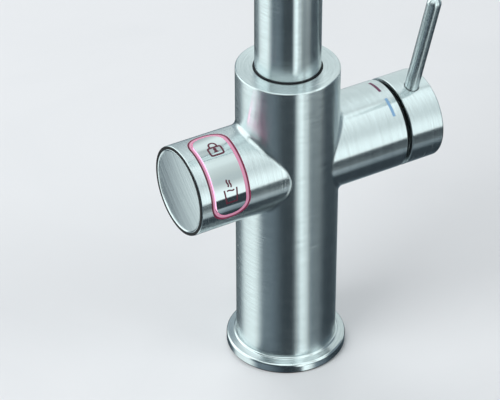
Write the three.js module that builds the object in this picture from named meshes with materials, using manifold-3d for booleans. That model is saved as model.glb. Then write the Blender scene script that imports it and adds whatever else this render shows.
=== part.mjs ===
// A boiling water tap for a kitchen worktop: a column with a swivel spout on top, a mixer with its
// lever on the right, and a lit rocker switch for boiling water on the left.
// Millimetres and degrees. +Z runs up the column's axis, the worktop's surface is z = 0, the spout
// reaches towards -Y, the mixer towards +X and the switch towards -X.
import * as THREE from 'three';
import { mergeVertices } from 'three/addons/utils/BufferGeometryUtils.js';
import loadManifold from 'manifold-3d';

const wasm = await loadManifold();
wasm.setup();

// ---- Driving dimensions ----

// Clearances
const fitGap = 0.3; // between pieces that sit in or on each other
const swingGap = 0.45; // round a piece that swings inside another
const seatGap = 0.2; // under a piece that a screw or spring presses down

// Column and base
const columnDiameter = 50;
const columnRise = 50.7; // of the column's top above the barrels' axis
const columnWall = 3;
const columnEdge = 0.7; // bevel round the top
const spoutHoleEdge = 0.15; // bevel round the hole that the spout stands in
const flangeOverhang = 5; // of the base flange round the column
const flangeThickness = 4.7; // at the rim
const flangeRound = 1;
const flangeRise = 1.05; // of its sloping top, from the rim up to the lip
const flangeLipWidth = 0.9; // raised lip round the column
const flangeLipHeight = 0.55;
const gasketThickness = 0.8;
const gasketInset = 0.6; // of the gasket's edge under the flange's

// Side barrels, alike but for their reach
const barrelDiameter = 44.5;
const barrelWall = 2.05;
const barrelHeight = 111.3; // of the barrels' shared axis above the worktop
const mixerReach = 55;
const switchReach = 59.3;
const barrelEdge = 0.3;
const junctionFillet = 3; // where the barrels grow out of the column

// Spout
const spoutDiameter = 31.6;
const spoutWall = 1.3;
const spoutReach = 215; // from the column's axis to the outlet's
const outletHeight = 240;
const archRise = 24; // of the arch's springing above the outlet's end of the tube
const spoutInsertion = 8; // of the tube into the column
const glideRingWall = 0.45;
const glideRingStandOut = 0.6;
const glideRingFloor = 3.7; // under the tube's end
const glideRunningGap = 0.12;
const socketShoulder = 9.7; // thickness of the column's inner shoulder under the glide ring

// Spout stub, the turned foot of the spout that runs in the waterway
const stubDiameter = 24.6;
const stubBore = 17;
const stubInTube = 18;
const stubDepth = 34; // below the spout tube's end
const sealSection = 1.4; // of the stub's two seals
const sealSpacing = 6.5;
const lowestSeal = 5; // height of the lower seal above the stub's foot
const grooveDepth = 1.6;
const clipThickness = 1.4;
const clipWidth = 3.1;
const clipMouth = 8; // opening of the clip's C

// Boiling water line
const boilingTubeDiameter = 7;
const boilingTubeBore = 5;
const nozzleDiameter = 9.6;
const nozzleLength = 20;
const nozzleBore = 4.4;
const spacerThickness = 4;
const spacerPort = 5.6;

// Aerator at the outlet
const aeratorCollar = 5.6; // visible height under the tube
const aeratorSleeve = 10.5; // hidden height inside the tube
const aeratorBore = 23.2;
const aeratorLip = 1;
const aeratorInsertHeight = 7;
const aeratorJet = 2.6;
const aeratorJets = 10;
const aeratorEdge = 0.45; // bevel round the collar's foot
const aeratorSealSection = 1.3;

// Waterway and its pipes inside the column
const waterwayWall = 3.9; // round the stub's socket
const waterwaySkirt = 1.8; // of the waterway below its cartridge boss
const riserDiameter = 8;
const riserBore = 5.4;
const riserWall = 2; // between two risers
const riserEntry = 8; // of the risers into the waterway
const stubFloat = 1; // under the stub's foot in its socket
const boilingRiserDrop = 5; // of the middle riser's end below the socket
const outletPortOffset = 10; // from the cartridge's axis
const inletPortOffset = 4;

// Mixer cartridge
const cartridgeDiameter = 35;
const cartridgeWall = 2;
const cartridgeLength = 24;
const cartridgeLip = 3;
const cartridgeSealThickness = 1.2;
const discThickness = 3.2;
const discDiameter = 29;
const movingDiscDiameter = 23;
const discSlotPlay = 0.65; // round the stem's tip
const rotorNeckDiameter = 27.4;
const rotorStandOut = 2.3; // of the rotor's neck past the housing
const cartridgeNutThickness = 3.8;
const endRingInset = 0.3; // of the black end ring behind the barrel's end
const endRingThickness = 2.6;
const endRingBore = 25.8;

// Lever
const leverAngle = 74; // of the lever at rest, from straight ahead up towards vertical
const leverLift = 20; // how far the lever tilts out from the column
const pivotSetback = 18; // of the tilt pivot behind the cap's rim
const capGap = 2.7; // between the barrel's end and the cap's rim
const capLength = 18.3;
const capWall = 1.85;
const capEnd = 3;
const capEdge = 0.8;
const capBossDiameter = 16;
const capBossLength = 10;
const stemDiameter = 8;
const stemTipDiameter = 4.4;
const stemTipLength = 7.7; // beyond the pivot
const pivotPinDiameter = 3;
const pivotPinLength = 28;
const leverRodDiameter = 7;
const leverRodLength = 60; // beyond the cap
const setScrewDiameter = 4;
const setScrewLength = 5;
const plugThickness = 1.5;

// Rocker switch
const switchAngle = 44.5; // of the panel's middle, from straight ahead up towards vertical
const windowWidth = 21; // along the barrel
const windowLength = 51; // round the barrel
const windowCorner = 9.6;
const windowFromEnd = 5.1; // of the window's edge from the barrel's end
const lightRingGap = 0.35;
const lightRingWidth = 1.6;
const lightRingSunk = 0.1;
const panelGap = 0.35;
const panelThickness = 1.5;
const rockerTravel = 1; // degrees each way
const rockerPinDiameter = 2;
const rockerPinRadius = 15.5; // distance of the rocker's pin from the barrel's axis
const rockerLugWidth = 6;
const rockerLugThickness = 4.4;
const carrierWall = 3.6; // at both ends of the carrier's pocket
const pocketFloor = 9; // distance of the pocket's floor from the barrel's axis
const pocketWidth = 31;
const boardThickness = 1.6;
const switchSpacing = 22;
const switchBodySize = 6;
const switchBodyHeight = 3.5;
const plungerDiameter = 3.5;
const springWidth = 2.2;
const springThickness = 0.5;
const springReach = 8;
const endCapInset = 1.35; // of the end cap's rim inside the barrel's outside
const endCapFlange = 0.5;
const endCapSpigot = 3.4;
const endCapBevel = 0.3;
const endRingHeight = 0.4; // of the black ring round the end cap
const endRingSunk = 0.2; // of that ring inside the barrel's outside
const leadDiameter = 3;

// Fixing under the worktop
const worktopThickness = 30;
const shankDiameter = 33;
const shankWall = 2;
const shankLength = 58; // below the worktop's surface
const shankFlangeThickness = 6;
const shankFlangeLift = 1.2; // above the gasket
const clampDiameter = 56;
const washerThickness = 3;
const clampPlateThickness = 2.5;
const clampNutDiameter = 50;
const clampNutThickness = 8;
const clampNutGap = 3.5;
const jackScrewDiameter = 4;
const jackScrewHead = 6.4;
const jackScrewHeadHeight = 3;
const inletBlockThickness = 9.5;
const inletCollarHeight = 3.2;
const inletLength = 12;
const inletEntry = 4;
const inletBore = 4.6;
const glandDiameter = 6;
const glandHeadDiameter = 8.4;
const glandHeadHeight = 4;

// Roundness: how many sides the turned pieces have
const largeSides = 32;
const mediumSides = 24;
const smallSides = 12;
const tinySides = 8;
const spoutSides = 20;
const spoutSteps = 26;
const leadSides = 6;
const leadSteps = 32;
const sealSides = 5; // of a seal's section
const padSteps = 22; // round a bent pad
const junctionSteps = 32;

// ---- Shapes ----

const radians = THREE.MathUtils.degToRad;

/** A solid from a closed geometry, turned inside out where that is needed to make its faces point out. */
function solid(shape) {
  if (shape instanceof wasm.Manifold) return shape;
  shape.deleteAttribute('normal');
  shape.deleteAttribute('uv');
  const merged = mergeVertices(shape, 1e-4);
  const position = merged.getAttribute('position');
  const index = merged.getIndex().array;
  const corner = (i) => new THREE.Vector3().fromBufferAttribute(position, i);
  const faces = [];
  let volume = 0;
  for (let i = 0; i < index.length; i += 3) {
    const [a, b, c] = [index[i], index[i + 1], index[i + 2]];
    if (a === b || b === c || c === a) continue;
    faces.push([a, b, c]);
    volume += corner(a).dot(corner(b).cross(corner(c)));
  }
  if (volume < 0) faces.forEach((face) => face.reverse());
  return new wasm.Manifold(new wasm.Mesh({
    numProp: 3,
    vertProperties: new Float32Array(position.array),
    triVerts: new Uint32Array(faces.flat()),
  }));
}

const joined = (...shapes) => shapes.map(solid).reduce((whole, part) => whole.add(part));
const cut = (body, ...tools) => tools.map(solid).reduce((rest, tool) => rest.subtract(tool), solid(body));

/** A solid of revolution about +Z from [radius, height] corners, closed on the axis or on itself. */
function turned(corners, sides) {
  const profile = corners.map(([radius, height]) => new THREE.Vector2(radius, height));
  if (corners[0][0] > 0) profile.push(profile[0].clone());
  return new THREE.LatheGeometry(profile, sides).rotateX(Math.PI / 2);
}

const disc = (diameter, from, to, sides) =>
  turned([[0, from], [diameter / 2, from], [diameter / 2, to], [0, to]], sides);

const tube = (bore, diameter, from, to, sides) =>
  turned([[bore / 2, from], [diameter / 2, from], [diameter / 2, to], [bore / 2, to]], sides);

/** A block between two opposite corners. */
function block([x0, y0, z0], [x1, y1, z1]) {
  const box = new THREE.BoxGeometry(x1 - x0, y1 - y0, z1 - z0);
  return box.translate((x0 + x1) / 2, (y0 + y1) / 2, (z0 + z1) / 2);
}

/** A round bar of the given diameter along +X, between two distances from the group's axis. */
const barAlongX = (diameter, from, to, sides) => disc(diameter, from, to, sides).rotateY(Math.PI / 2);

const circle = (diameter, sides) => Array.from({ length: sides }, (_, i) => {
  const angle = (i / sides) * 2 * Math.PI;
  return new THREE.Vector2(Math.cos(angle), Math.sin(angle)).multiplyScalar(diameter / 2);
});

/** A round pipe, or a solid bar where bore is 0, along a curve. */
function pipe(curve, diameter, bore, sides, steps) {
  const section = new THREE.Shape(circle(diameter, sides));
  if (bore > 0) section.holes.push(new THREE.Path(circle(bore, sides)));
  return new THREE.ExtrudeGeometry(section, { steps, extrudePath: curve });
}

/** A flat outline of [x, y] corners, thickened along +Z. */
function plate(corners, from, to) {
  const outline = new THREE.Shape(corners.map(([x, y]) => new THREE.Vector2(x, y)));
  return new THREE.ExtrudeGeometry(outline, { depth: to - from, bevelEnabled: false }).translate(0, 0, from);
}

/** A round seal of the given section diameter, as wide as fits inside outside. */
const seal = (outside, section, height, sides) =>
  new THREE.TorusGeometry(outside / 2 - section / 2, section / 2, sealSides, sides).translate(0, 0, height);

/** A group that stands at a height on the column's axis, with its own +Z along axis and +X along face. */
function turnedGroup(height, axis, face) {
  const group = new THREE.Group();
  const side = new THREE.Vector3().crossVectors(axis, face);
  group.quaternion.setFromRotationMatrix(new THREE.Matrix4().makeBasis(face, side, axis));
  group.position.set(0, 0, height);
  group.updateMatrix();
  return group;
}

/** The direction that leans up from straight ahead by an angle. */
const leaning = (angle) => new THREE.Vector3(0, -Math.cos(radians(angle)), Math.sin(radians(angle)));

// ---- Finishes ----

const finishes = {
  satin_steel: { color: 0xc3cbcd, roughness: 0.32, metalness: 1 },
  polished_steel: { color: 0xd0d8da, roughness: 0.12, metalness: 1 },
  brass: { color: 0xc9a45c, roughness: 0.4, metalness: 1 },
  copper: { color: 0xb87a55, roughness: 0.4, metalness: 1 },
  zinc_steel: { color: 0xa9adb0, roughness: 0.45, metalness: 1 },
  black_plastic: { color: 0x16181b, roughness: 0.5, metalness: 0 },
  grey_plastic: { color: 0xb4b8ba, roughness: 0.55, metalness: 0 },
  black_rubber: { color: 0x1a1a1a, roughness: 0.85, metalness: 0 },
  ceramic: { color: 0xeeece6, roughness: 0.25, metalness: 0 },
  light_plastic: { color: 0xf08fb0, roughness: 0.4, metalness: 0 },
  board_green: { color: 0x1f5b3c, roughness: 0.6, metalness: 0 },
};

/** Adds one named piece to its group. */
function piece(group, name, finish, shape) {
  const { vertProperties, triVerts } = solid(shape).getMesh();
  const geometry = new THREE.BufferGeometry();
  geometry.setAttribute('position', new THREE.BufferAttribute(vertProperties, 3));
  geometry.setIndex(new THREE.BufferAttribute(triVerts, 1));
  geometry.computeVertexNormals();
  const mesh = new THREE.Mesh(geometry, new THREE.MeshStandardMaterial(finishes[finish]));
  mesh.name = name;
  group.add(mesh);
}

// ---- Groups ----

const tap = new THREE.Group();
const towardsMixer = new THREE.Vector3(1, 0, 0);
const towardsSwitch = new THREE.Vector3(-1, 0, 0);
const mixer = turnedGroup(barrelHeight, towardsMixer, leaning(leverAngle));
const rockerUnit = turnedGroup(barrelHeight, towardsSwitch, leaning(switchAngle));
const outlet = new THREE.Group();
outlet.position.set(0, -spoutReach, outletHeight);
tap.add(mixer, rockerUnit, outlet);

// ---- Heights and distances worked out from the driving dimensions ----

const barrelRadius = barrelDiameter / 2;
const barrelBore = barrelDiameter - 2 * barrelWall;
const columnTop = barrelHeight + columnRise;
const columnBore = columnDiameter - 2 * columnWall;
const flangeDiameter = columnDiameter + 2 * flangeOverhang;
const flangeTop = gasketThickness + flangeThickness; // at the rim
const flangeBore = columnDiameter + 2 * fitGap;
const glideRingInside = spoutDiameter + 2 * glideRunningGap;
const glideRingOutside = glideRingInside + 2 * glideRingWall;
const spoutHole = glideRingOutside + 2 * seatGap;
const spoutFoot = columnTop - spoutInsertion;
const glideRingFoot = spoutFoot - fitGap - glideRingFloor;
const shoulderTop = glideRingFoot - fitGap;
const shoulderFoot = shoulderTop - socketShoulder;
const stubHole = stubDiameter + 2 * fitGap;
const stubFoot = spoutFoot - stubDepth;
const waterwayTop = shoulderFoot - fitGap;
const waterwayFoot = barrelHeight - cartridgeDiameter / 2 - waterwaySkirt;
const waterwayDiameter = stubHole + 2 * waterwayWall;
const socketFloor = stubFoot - stubFloat;
const shankBore = shankDiameter - 2 * shankWall;
const riserSpacing = riserDiameter + riserWall;
const riserHole = riserDiameter + 2 * fitGap;
const riserTop = waterwayFoot + riserEntry;
const boilingRiserTop = socketFloor - boilingRiserDrop;
const inletBlockFoot = -shankLength;
const riserFoot = inletBlockFoot + inletEntry + fitGap;
const endRingFoot = mixerReach - endRingInset;
const nutFoot = endRingFoot - fitGap - cartridgeNutThickness;
const cartridgeTop = nutFoot - fitGap;
const cartridgeFoot = cartridgeTop - cartridgeLength;
const cartridgeSeat = cartridgeFoot - fitGap; // of the cartridge on the waterway
const windowFar = switchReach - windowFromEnd;
const windowNear = windowFar - windowWidth;
const windowMiddle = (windowFar + windowNear) / 2;

// ---- Column and base ----

/** The curved ring that rounds off the corner where a barrel of one group leaves the column. */
function junctionRing(sense) {
  const arcSteps = 3;
  const buriedDepth = 0.8;
  const columnRadius = columnDiameter / 2;
  const ring = new THREE.TorusGeometry(2, 1, arcSteps + 2, junctionSteps);
  const position = ring.getAttribute('position');
  const sectionAt = (turn) => {
    const y = (barrelRadius + junctionFillet) * Math.sin(turn);
    const z = (barrelRadius + junctionFillet) * Math.cos(turn);
    const ball = new THREE.Vector3(Math.sqrt((columnRadius + junctionFillet) ** 2 - y * y), y, z);
    const toColumn = new THREE.Vector3(-ball.x, -ball.y, 0).normalize();
    const toBarrel = new THREE.Vector3(0, -ball.y, -ball.z).normalize();
    const spread = toColumn.angleTo(toBarrel);
    const along = (share) => toColumn.clone().multiplyScalar(Math.sin((1 - share) * spread))
      .addScaledVector(toBarrel, Math.sin(share * spread)).divideScalar(Math.sin(spread));
    const points = [];
    for (let i = 0; i <= arcSteps; i += 1) {
      points.push(along(i / arcSteps).multiplyScalar(junctionFillet).add(ball));
    }
    const buried = junctionFillet / Math.cos(spread / 2) + buriedDepth;
    points.push(along(0.5).multiplyScalar(buried).add(ball));
    return points;
  };
  const around = junctionSteps + 1;
  for (let step = 0; step < around; step += 1) {
    const points = sectionAt((step / junctionSteps) * 2 * Math.PI);
    for (let i = 0; i <= points.length; i += 1) {
      const { x, y, z } = points[i % points.length];
      position.setXYZ(i * around + step, sense * x, y, z + barrelHeight);
    }
  }
  return ring;
}

/** A barrel's outside in its group: from the column's axis to its chamfered end. */
const barrel = (reach) => turned([
  [0, 0], [barrelRadius, 0], [barrelRadius, reach - barrelEdge],
  [barrelRadius - barrelEdge, reach], [0, reach],
], largeSides);

/** A pad bent round the barrel, with its outline's width along the barrel and its length round it. */
function bentPad(width, length, corner, from, to) {
  const pad = new THREE.BoxGeometry(2, 2, 2, 1, padSteps, 1);
  const position = pad.getAttribute('position');
  const straight = length / 2 - corner;
  for (let i = 0; i < position.count; i += 1) {
    const arc = (length / 2) * Math.sin(position.getY(i) * Math.PI / 2);
    const past = Math.max(Math.abs(arc) - straight, 0);
    const halfWidth = width / 2 - corner + Math.sqrt(Math.max(corner ** 2 - past ** 2, 0));
    const radius = position.getZ(i) < 0 ? from : to;
    const angle = arc / barrelRadius;
    position.setXYZ(i, radius * Math.cos(angle), radius * Math.sin(angle),
      windowMiddle + Math.sign(position.getX(i)) * halfWidth);
  }
  return pad;
}

/** The column with both barrels in one hollow body, open at the foot, the top and the barrels' ends. */
function columnBody() {
  const radius = columnDiameter / 2;
  const inside = barrelBore / 2;
  const beyond = 5;
  const column = turned([
    [0, gasketThickness], [radius, gasketThickness], [radius, columnTop - columnEdge],
    [radius - columnEdge, columnTop], [0, columnTop],
  ], largeSides);
  const outside = joined(
    column,
    barrel(mixerReach).applyMatrix4(mixer.matrix),
    barrel(switchReach).applyMatrix4(rockerUnit.matrix),
    junctionRing(1),
    junctionRing(-1),
  );
  const spoutSeat = turned([
    [0, 0], [columnBore / 2, 0], [columnBore / 2, shoulderFoot], [stubHole / 2, shoulderFoot],
    [stubHole / 2, shoulderTop], [spoutHole / 2, shoulderTop], [spoutHole / 2, columnTop - spoutHoleEdge],
    [spoutHole / 2 + 2 * spoutHoleEdge, columnTop + spoutHoleEdge], [0, columnTop + spoutHoleEdge],
  ], largeSides);
  const boreOf = (reach) => turned([
    [0, 0], [inside, 0], [inside, reach + beyond], [0, reach + beyond],
  ], largeSides);
  const switchWindow = bentPad(
    windowWidth, windowLength, windowCorner, inside - beyond, barrelRadius + beyond,
  );
  return cut(
    outside,
    spoutSeat,
    boreOf(mixerReach).applyMatrix4(mixer.matrix),
    boreOf(switchReach).applyMatrix4(rockerUnit.matrix),
    switchWindow.applyMatrix4(rockerUnit.matrix),
  );
}

piece(tap, 'column_body', 'satin_steel', columnBody());

/** The ring at the column's foot: a rounded rim, a top that slopes up, a low lip round the column. */
function baseFlange() {
  const rim = flangeDiameter / 2;
  const inner = flangeBore / 2;
  const lipFoot = flangeTop + flangeRise;
  const arc = [0, 25, 50, 75].map((angle) => [
    rim - flangeRound + flangeRound * Math.cos(radians(angle)),
    flangeTop - flangeRound + flangeRound * Math.sin(radians(angle)),
  ]);
  const lip = [
    [inner + flangeLipWidth, lipFoot],
    [inner + flangeLipWidth * 0.7, lipFoot + flangeLipHeight],
    [inner + flangeLipWidth * 0.2, lipFoot + flangeLipHeight],
    [inner, lipFoot + flangeLipHeight / 2],
  ];
  return turned([[inner, gasketThickness], [rim, gasketThickness], ...arc, ...lip], largeSides);
}

piece(tap, 'base_flange', 'satin_steel', baseFlange());
piece(tap, 'base_gasket', 'black_rubber',
  tube(shankDiameter + 2 * fitGap, flangeDiameter - 2 * gasketInset, 0, gasketThickness, largeSides));

// ---- Waterway and pipes inside the column ----

/** The block that the cartridge, the spout's stub and the three risers plug into. */
function innerWaterway() {
  const clipRoom = clipThickness + 2 * fitGap;
  const portBore = riserBore;
  const crossBore = (y, z) => barAlongX(portBore, 0, cartridgeSeat + 1, tinySides)
    .translate(0, y, barrelHeight + z);
  const column = disc(waterwayDiameter, waterwayFoot, waterwayTop, mediumSides);
  const boss = disc(cartridgeDiameter, 0, cartridgeSeat, mediumSides)
    .rotateY(Math.PI / 2).translate(0, 0, barrelHeight);
  const socket = turned([
    [0, socketFloor], [stubHole / 2, socketFloor], [stubHole / 2, waterwayTop - clipRoom],
    [clipSeat / 2, waterwayTop - clipRoom], [clipSeat / 2, waterwayTop + 1], [0, waterwayTop + 1],
  ], mediumSides);
  const tools = [socket, disc(riserHole, waterwayFoot - 1, socketFloor + 1, smallSides)];
  for (const side of [-1, 1]) {
    const y = side * riserSpacing;
    tools.push(disc(riserHole, waterwayFoot - 1, riserTop + fitGap, smallSides).translate(0, y, 0));
    tools.push(disc(portBore, riserTop, barrelHeight - inletPortOffset + portBore / 2, tinySides)
      .translate(0, y, 0));
    tools.push(crossBore(y, -inletPortOffset));
  }
  tools.push(crossBore(0, outletPortOffset));
  return cut(joined(column, boss), ...tools);
}

const stubGroove = stubDiameter - 2 * grooveDepth;
const clipInside = stubGroove + 2 * seatGap;
const clipOutside = clipInside + 2 * clipWidth;
const clipSeat = clipOutside + 2 * fitGap;
piece(tap, 'inner_waterway', 'brass', innerWaterway());

for (const [name, side] of [['cold_riser', -1], ['hot_riser', 1]]) {
  piece(tap, name, 'copper', tube(riserBore, riserDiameter, riserFoot, riserTop, smallSides)
    .translate(0, side * riserSpacing, 0));
}
piece(tap, 'boiling_riser', 'copper',
  tube(riserBore, riserDiameter, riserFoot, boilingRiserTop, smallSides));

// ---- Spout ----

const spoutBore = spoutDiameter - 2 * spoutWall;
const tubeEnd = outletHeight + aeratorCollar + fitGap;
const springing = tubeEnd + archRise;

/** The spout's centre line: up from a foot, over the arch and down to an end above the outlet. */
class SpoutLine extends THREE.Curve {
  constructor(foot, end) {
    super();
    const archRadius = spoutReach / 2;
    this.outline = new THREE.Path().moveTo(0, foot).lineTo(0, springing)
      .absarc(archRadius, springing, archRadius, Math.PI, 0, true).lineTo(spoutReach, end);
  }

  getPoint(share, target = new THREE.Vector3()) {
    const { x, y } = this.outline.getPoint(share);
    return target.set(0, -x, y);
  }
}

piece(tap, 'spout_glide_ring', 'black_plastic', turned([
  [stubHole / 2, glideRingFoot],
  [glideRingOutside / 2, glideRingFoot],
  [glideRingOutside / 2, columnTop + glideRingStandOut],
  [glideRingInside / 2, columnTop + glideRingStandOut],
  [glideRingInside / 2, spoutFoot - fitGap],
  [stubHole / 2, spoutFoot - fitGap],
], largeSides));

piece(tap, 'spout_tube', 'satin_steel',
  pipe(new SpoutLine(spoutFoot, tubeEnd), spoutDiameter, spoutBore, spoutSides, spoutSteps));

const insideTube = spoutBore - 2 * fitGap;
const clipHeight = waterwayTop - fitGap - clipThickness;
const sealHeights = {
  stub_seal_lower: stubFoot + lowestSeal,
  stub_seal_upper: stubFoot + lowestSeal + sealSpacing,
};

/** A groove's cutting ring round the stub. */
const grooveCutter = (from, to) => tube(stubGroove, stubDiameter + 2, from, to, mediumSides);

piece(tap, 'spout_stub', 'brass', cut(
  turned([
    [stubBore / 2, stubFoot], [stubDiameter / 2, stubFoot], [stubDiameter / 2, spoutFoot],
    [insideTube / 2, spoutFoot], [insideTube / 2, spoutFoot + stubInTube],
    [stubBore / 2, spoutFoot + stubInTube],
  ], mediumSides),
  grooveCutter(clipHeight - seatGap, clipHeight + clipThickness + seatGap),
  ...Object.values(sealHeights).map((height) =>
    grooveCutter(height - sealSection / 2 - seatGap, height + sealSection / 2 + seatGap)),
));

for (const [name, height] of Object.entries(sealHeights)) {
  piece(tap, name, 'black_rubber', seal(stubDiameter + seatGap, sealSection, height, mediumSides));
}

piece(tap, 'spout_clip', 'zinc_steel', cut(
  tube(clipInside, clipOutside, clipHeight, clipHeight + clipThickness, mediumSides),
  block([-clipMouth / 2, 0, clipHeight - 1], [clipMouth / 2, clipOutside, clipHeight + clipThickness + 1]),
));

const boilingTubeFoot = boilingRiserTop + fitGap;
const nozzleTop = outletHeight + nozzleLength;
piece(tap, 'boiling_tube', 'satin_steel', pipe(
  new SpoutLine(boilingTubeFoot, nozzleTop + fitGap),
  boilingTubeDiameter, boilingTubeBore, tinySides, spoutSteps,
));

/** A ring with four ports that holds the boiling water tube in the middle of the spout. */
function tubeSpacer() {
  const portRadius = (insideTube + boilingTubeDiameter) / 4;
  const ring = tube(boilingTubeDiameter + 2 * fitGap, insideTube, 0, spacerThickness, mediumSides);
  const ports = [0, 1, 2, 3].map((quarter) => disc(spacerPort, -1, spacerThickness + 1, tinySides)
    .translate(portRadius, 0, 0).rotateZ((quarter * Math.PI) / 2));
  return cut(ring, ...ports);
}

piece(tap, 'tube_spacer_lower', 'grey_plastic',
  tubeSpacer().translate([0, 0, spoutFoot + stubInTube + fitGap]));

// The outlet's pieces stand in its own group: z = 0 is the outlet's rim.
const collarTop = aeratorCollar;
const sleeveTop = collarTop + aeratorSleeve;
const aeratorSealHeight = collarTop + aeratorSleeve / 2;
const aeratorGroove = insideTube - 2 * aeratorSealSection;
piece(outlet, 'aerator_housing', 'satin_steel', cut(
  turned([
    [aeratorBore / 2 - aeratorLip, 0], [spoutDiameter / 2 - aeratorEdge, 0], [spoutDiameter / 2, aeratorEdge],
    [spoutDiameter / 2, collarTop], [insideTube / 2, collarTop], [insideTube / 2, sleeveTop],
    [aeratorBore / 2, sleeveTop], [aeratorBore / 2, aeratorLip], [aeratorBore / 2 - aeratorLip, aeratorLip],
  ], mediumSides),
  tube(aeratorGroove, spoutBore, aeratorSealHeight - aeratorSealSection / 2 - seatGap,
    aeratorSealHeight + aeratorSealSection / 2 + seatGap, mediumSides),
));
piece(outlet, 'aerator_seal', 'black_rubber',
  seal(spoutBore - 2 * seatGap, aeratorSealSection - seatGap, aeratorSealHeight, mediumSides));

const insertDiameter = aeratorBore - 2 * fitGap;
const insertFoot = aeratorLip + fitGap;
const nozzleHole = nozzleDiameter + 2 * fitGap;
const jetRadius = (insertDiameter + nozzleHole) / 4;
piece(outlet, 'aerator_insert', 'grey_plastic', cut(
  tube(nozzleHole, insertDiameter, insertFoot, insertFoot + aeratorInsertHeight, mediumSides),
  ...Array.from({ length: aeratorJets }, (_, i) => disc(aeratorJet, 0, sleeveTop, 6)
    .translate(jetRadius, 0, 0).rotateZ((i / aeratorJets) * 2 * Math.PI)),
));
piece(outlet, 'boiling_nozzle', 'polished_steel',
  tube(nozzleBore, nozzleDiameter, 0, nozzleLength, smallSides));
piece(outlet, 'tube_spacer_upper', 'grey_plastic',
  tubeSpacer().translate([0, 0, nozzleLength + 2 * fitGap]));

// ---- Mixer: its group's z is the distance from the column's axis, its x points along the lever ----

const cartridgeBore = cartridgeDiameter - 2 * cartridgeWall;
const rotorDiameter = cartridgeBore - 2 * swingGap;
const rotorShoulder = cartridgeTop - cartridgeLip - fitGap;
const rotorTop = cartridgeTop + rotorStandOut;
const fixedDiscFoot = cartridgeFoot + cartridgeSealThickness + fitGap;
const movingDiscFoot = fixedDiscFoot + discThickness + fitGap;
const rotorFoot = movingDiscFoot + discThickness + fitGap;
const capRim = mixerReach + capGap;
const pivot = capRim - pivotSetback;
const capOuterEnd = capRim + capLength;
const capFloor = capOuterEnd - capEnd;
const capBossFoot = capFloor - capBossLength;
const stemEnd = capFloor - fitGap;
const inBarrel = barrelBore - 2 * fitGap;
const liftSlope = Math.tan(radians(leverLift));
const liftStretch = 1 / Math.cos(radians(leverLift));
const stemHole = stemDiameter + 2 * fitGap;
const discSlot = stemTipDiameter * liftStretch + 2 * discSlotPlay;

/** The hot, cold and mixed water ports as cutters, in the waterway's places seen in the mixer's group. */
function portCutters(from, to) {
  const toGroup = mixer.matrix.clone().invert();
  const places = [
    [0, outletPortOffset], [riserSpacing, -inletPortOffset], [-riserSpacing, -inletPortOffset],
  ];
  return places.map(([y, z]) => {
    const place = new THREE.Vector3(0, y, barrelHeight + z).applyMatrix4(toGroup);
    return disc(riserBore, from, to, tinySides).translate(place.x, place.y, 0);
  });
}

piece(mixer, 'cartridge_housing', 'grey_plastic', turned([
  [cartridgeBore / 2, cartridgeFoot], [cartridgeDiameter / 2, cartridgeFoot],
  [cartridgeDiameter / 2, cartridgeTop], [rotorNeckDiameter / 2 + swingGap, cartridgeTop],
  [rotorNeckDiameter / 2 + swingGap, cartridgeTop - cartridgeLip],
  [cartridgeBore / 2, cartridgeTop - cartridgeLip],
], mediumSides));
piece(mixer, 'cartridge_seal', 'black_rubber', cut(
  disc(discDiameter, cartridgeFoot, cartridgeFoot + cartridgeSealThickness, mediumSides),
  ...portCutters(0, capRim),
));
piece(mixer, 'fixed_disc', 'ceramic', cut(
  disc(discDiameter, fixedDiscFoot, fixedDiscFoot + discThickness, mediumSides),
  ...portCutters(0, capRim),
));
piece(mixer, 'moving_disc', 'ceramic',
  tube(discSlot, movingDiscDiameter, movingDiscFoot, movingDiscFoot + discThickness, mediumSides));

/** The turning core: slotted for the stem's swing and cross drilled for its pivot pin. */
function cartridgeRotor() {
  const body = turned([
    [0, rotorFoot], [rotorDiameter / 2, rotorFoot], [rotorDiameter / 2, rotorShoulder],
    [rotorNeckDiameter / 2, rotorShoulder], [rotorNeckDiameter / 2, rotorTop], [0, rotorTop],
  ], mediumSides);
  const stemRoom = (stemDiameter / 2) * liftStretch + swingGap;
  const above = rotorTop + 1;
  const below = rotorFoot - 1;
  const slot = plate([
    [stemRoom, above], [stemRoom, pivot], [stemRoom + (pivot - below) * liftSlope, below],
    [-stemRoom, below], [-stemRoom, pivot], [-stemRoom - (above - pivot) * liftSlope, above],
  ], -stemDiameter / 2 - swingGap, stemDiameter / 2 + swingGap).rotateX(Math.PI / 2);
  return cut(body, slot, crossPin(pivotPinDiameter + 2 * fitGap, rotorDiameter));
}

/** A round bar across the mixer's group, through the tilt pivot. */
const crossPin = (diameter, length) => disc(diameter, -length / 2, length / 2, smallSides)
  .rotateX(Math.PI / 2).translate(0, 0, pivot);

piece(mixer, 'cartridge_rotor', 'grey_plastic', cartridgeRotor());
piece(mixer, 'stem_pivot_pin', 'zinc_steel', crossPin(pivotPinDiameter, pivotPinLength));
piece(mixer, 'cartridge_nut', 'brass',
  tube(rotorNeckDiameter + 2 * swingGap, inBarrel, nutFoot, nutFoot + cartridgeNutThickness, mediumSides));
piece(mixer, 'mixer_end_ring', 'black_plastic',
  tube(endRingBore, inBarrel, endRingFoot, endRingFoot + endRingThickness, mediumSides));

piece(mixer, 'cartridge_stem', 'brass', cut(
  turned([
    [0, pivot - stemTipLength], [stemTipDiameter / 2, pivot - stemTipLength],
    [stemTipDiameter / 2, pivot - stemDiameter / 2], [stemDiameter / 2, pivot - stemDiameter / 2 + 1],
    [stemDiameter / 2, stemEnd], [0, stemEnd],
  ], smallSides),
  crossPin(pivotPinDiameter + 2 * fitGap, stemDiameter + 2),
));

const leverHeight = (capRim + capOuterEnd) / 2;
const besideStem = stemDiameter / 2 + 2 * fitGap; // where the rod and its set screw begin
const rodTip = barrelRadius + leverRodLength;

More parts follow.
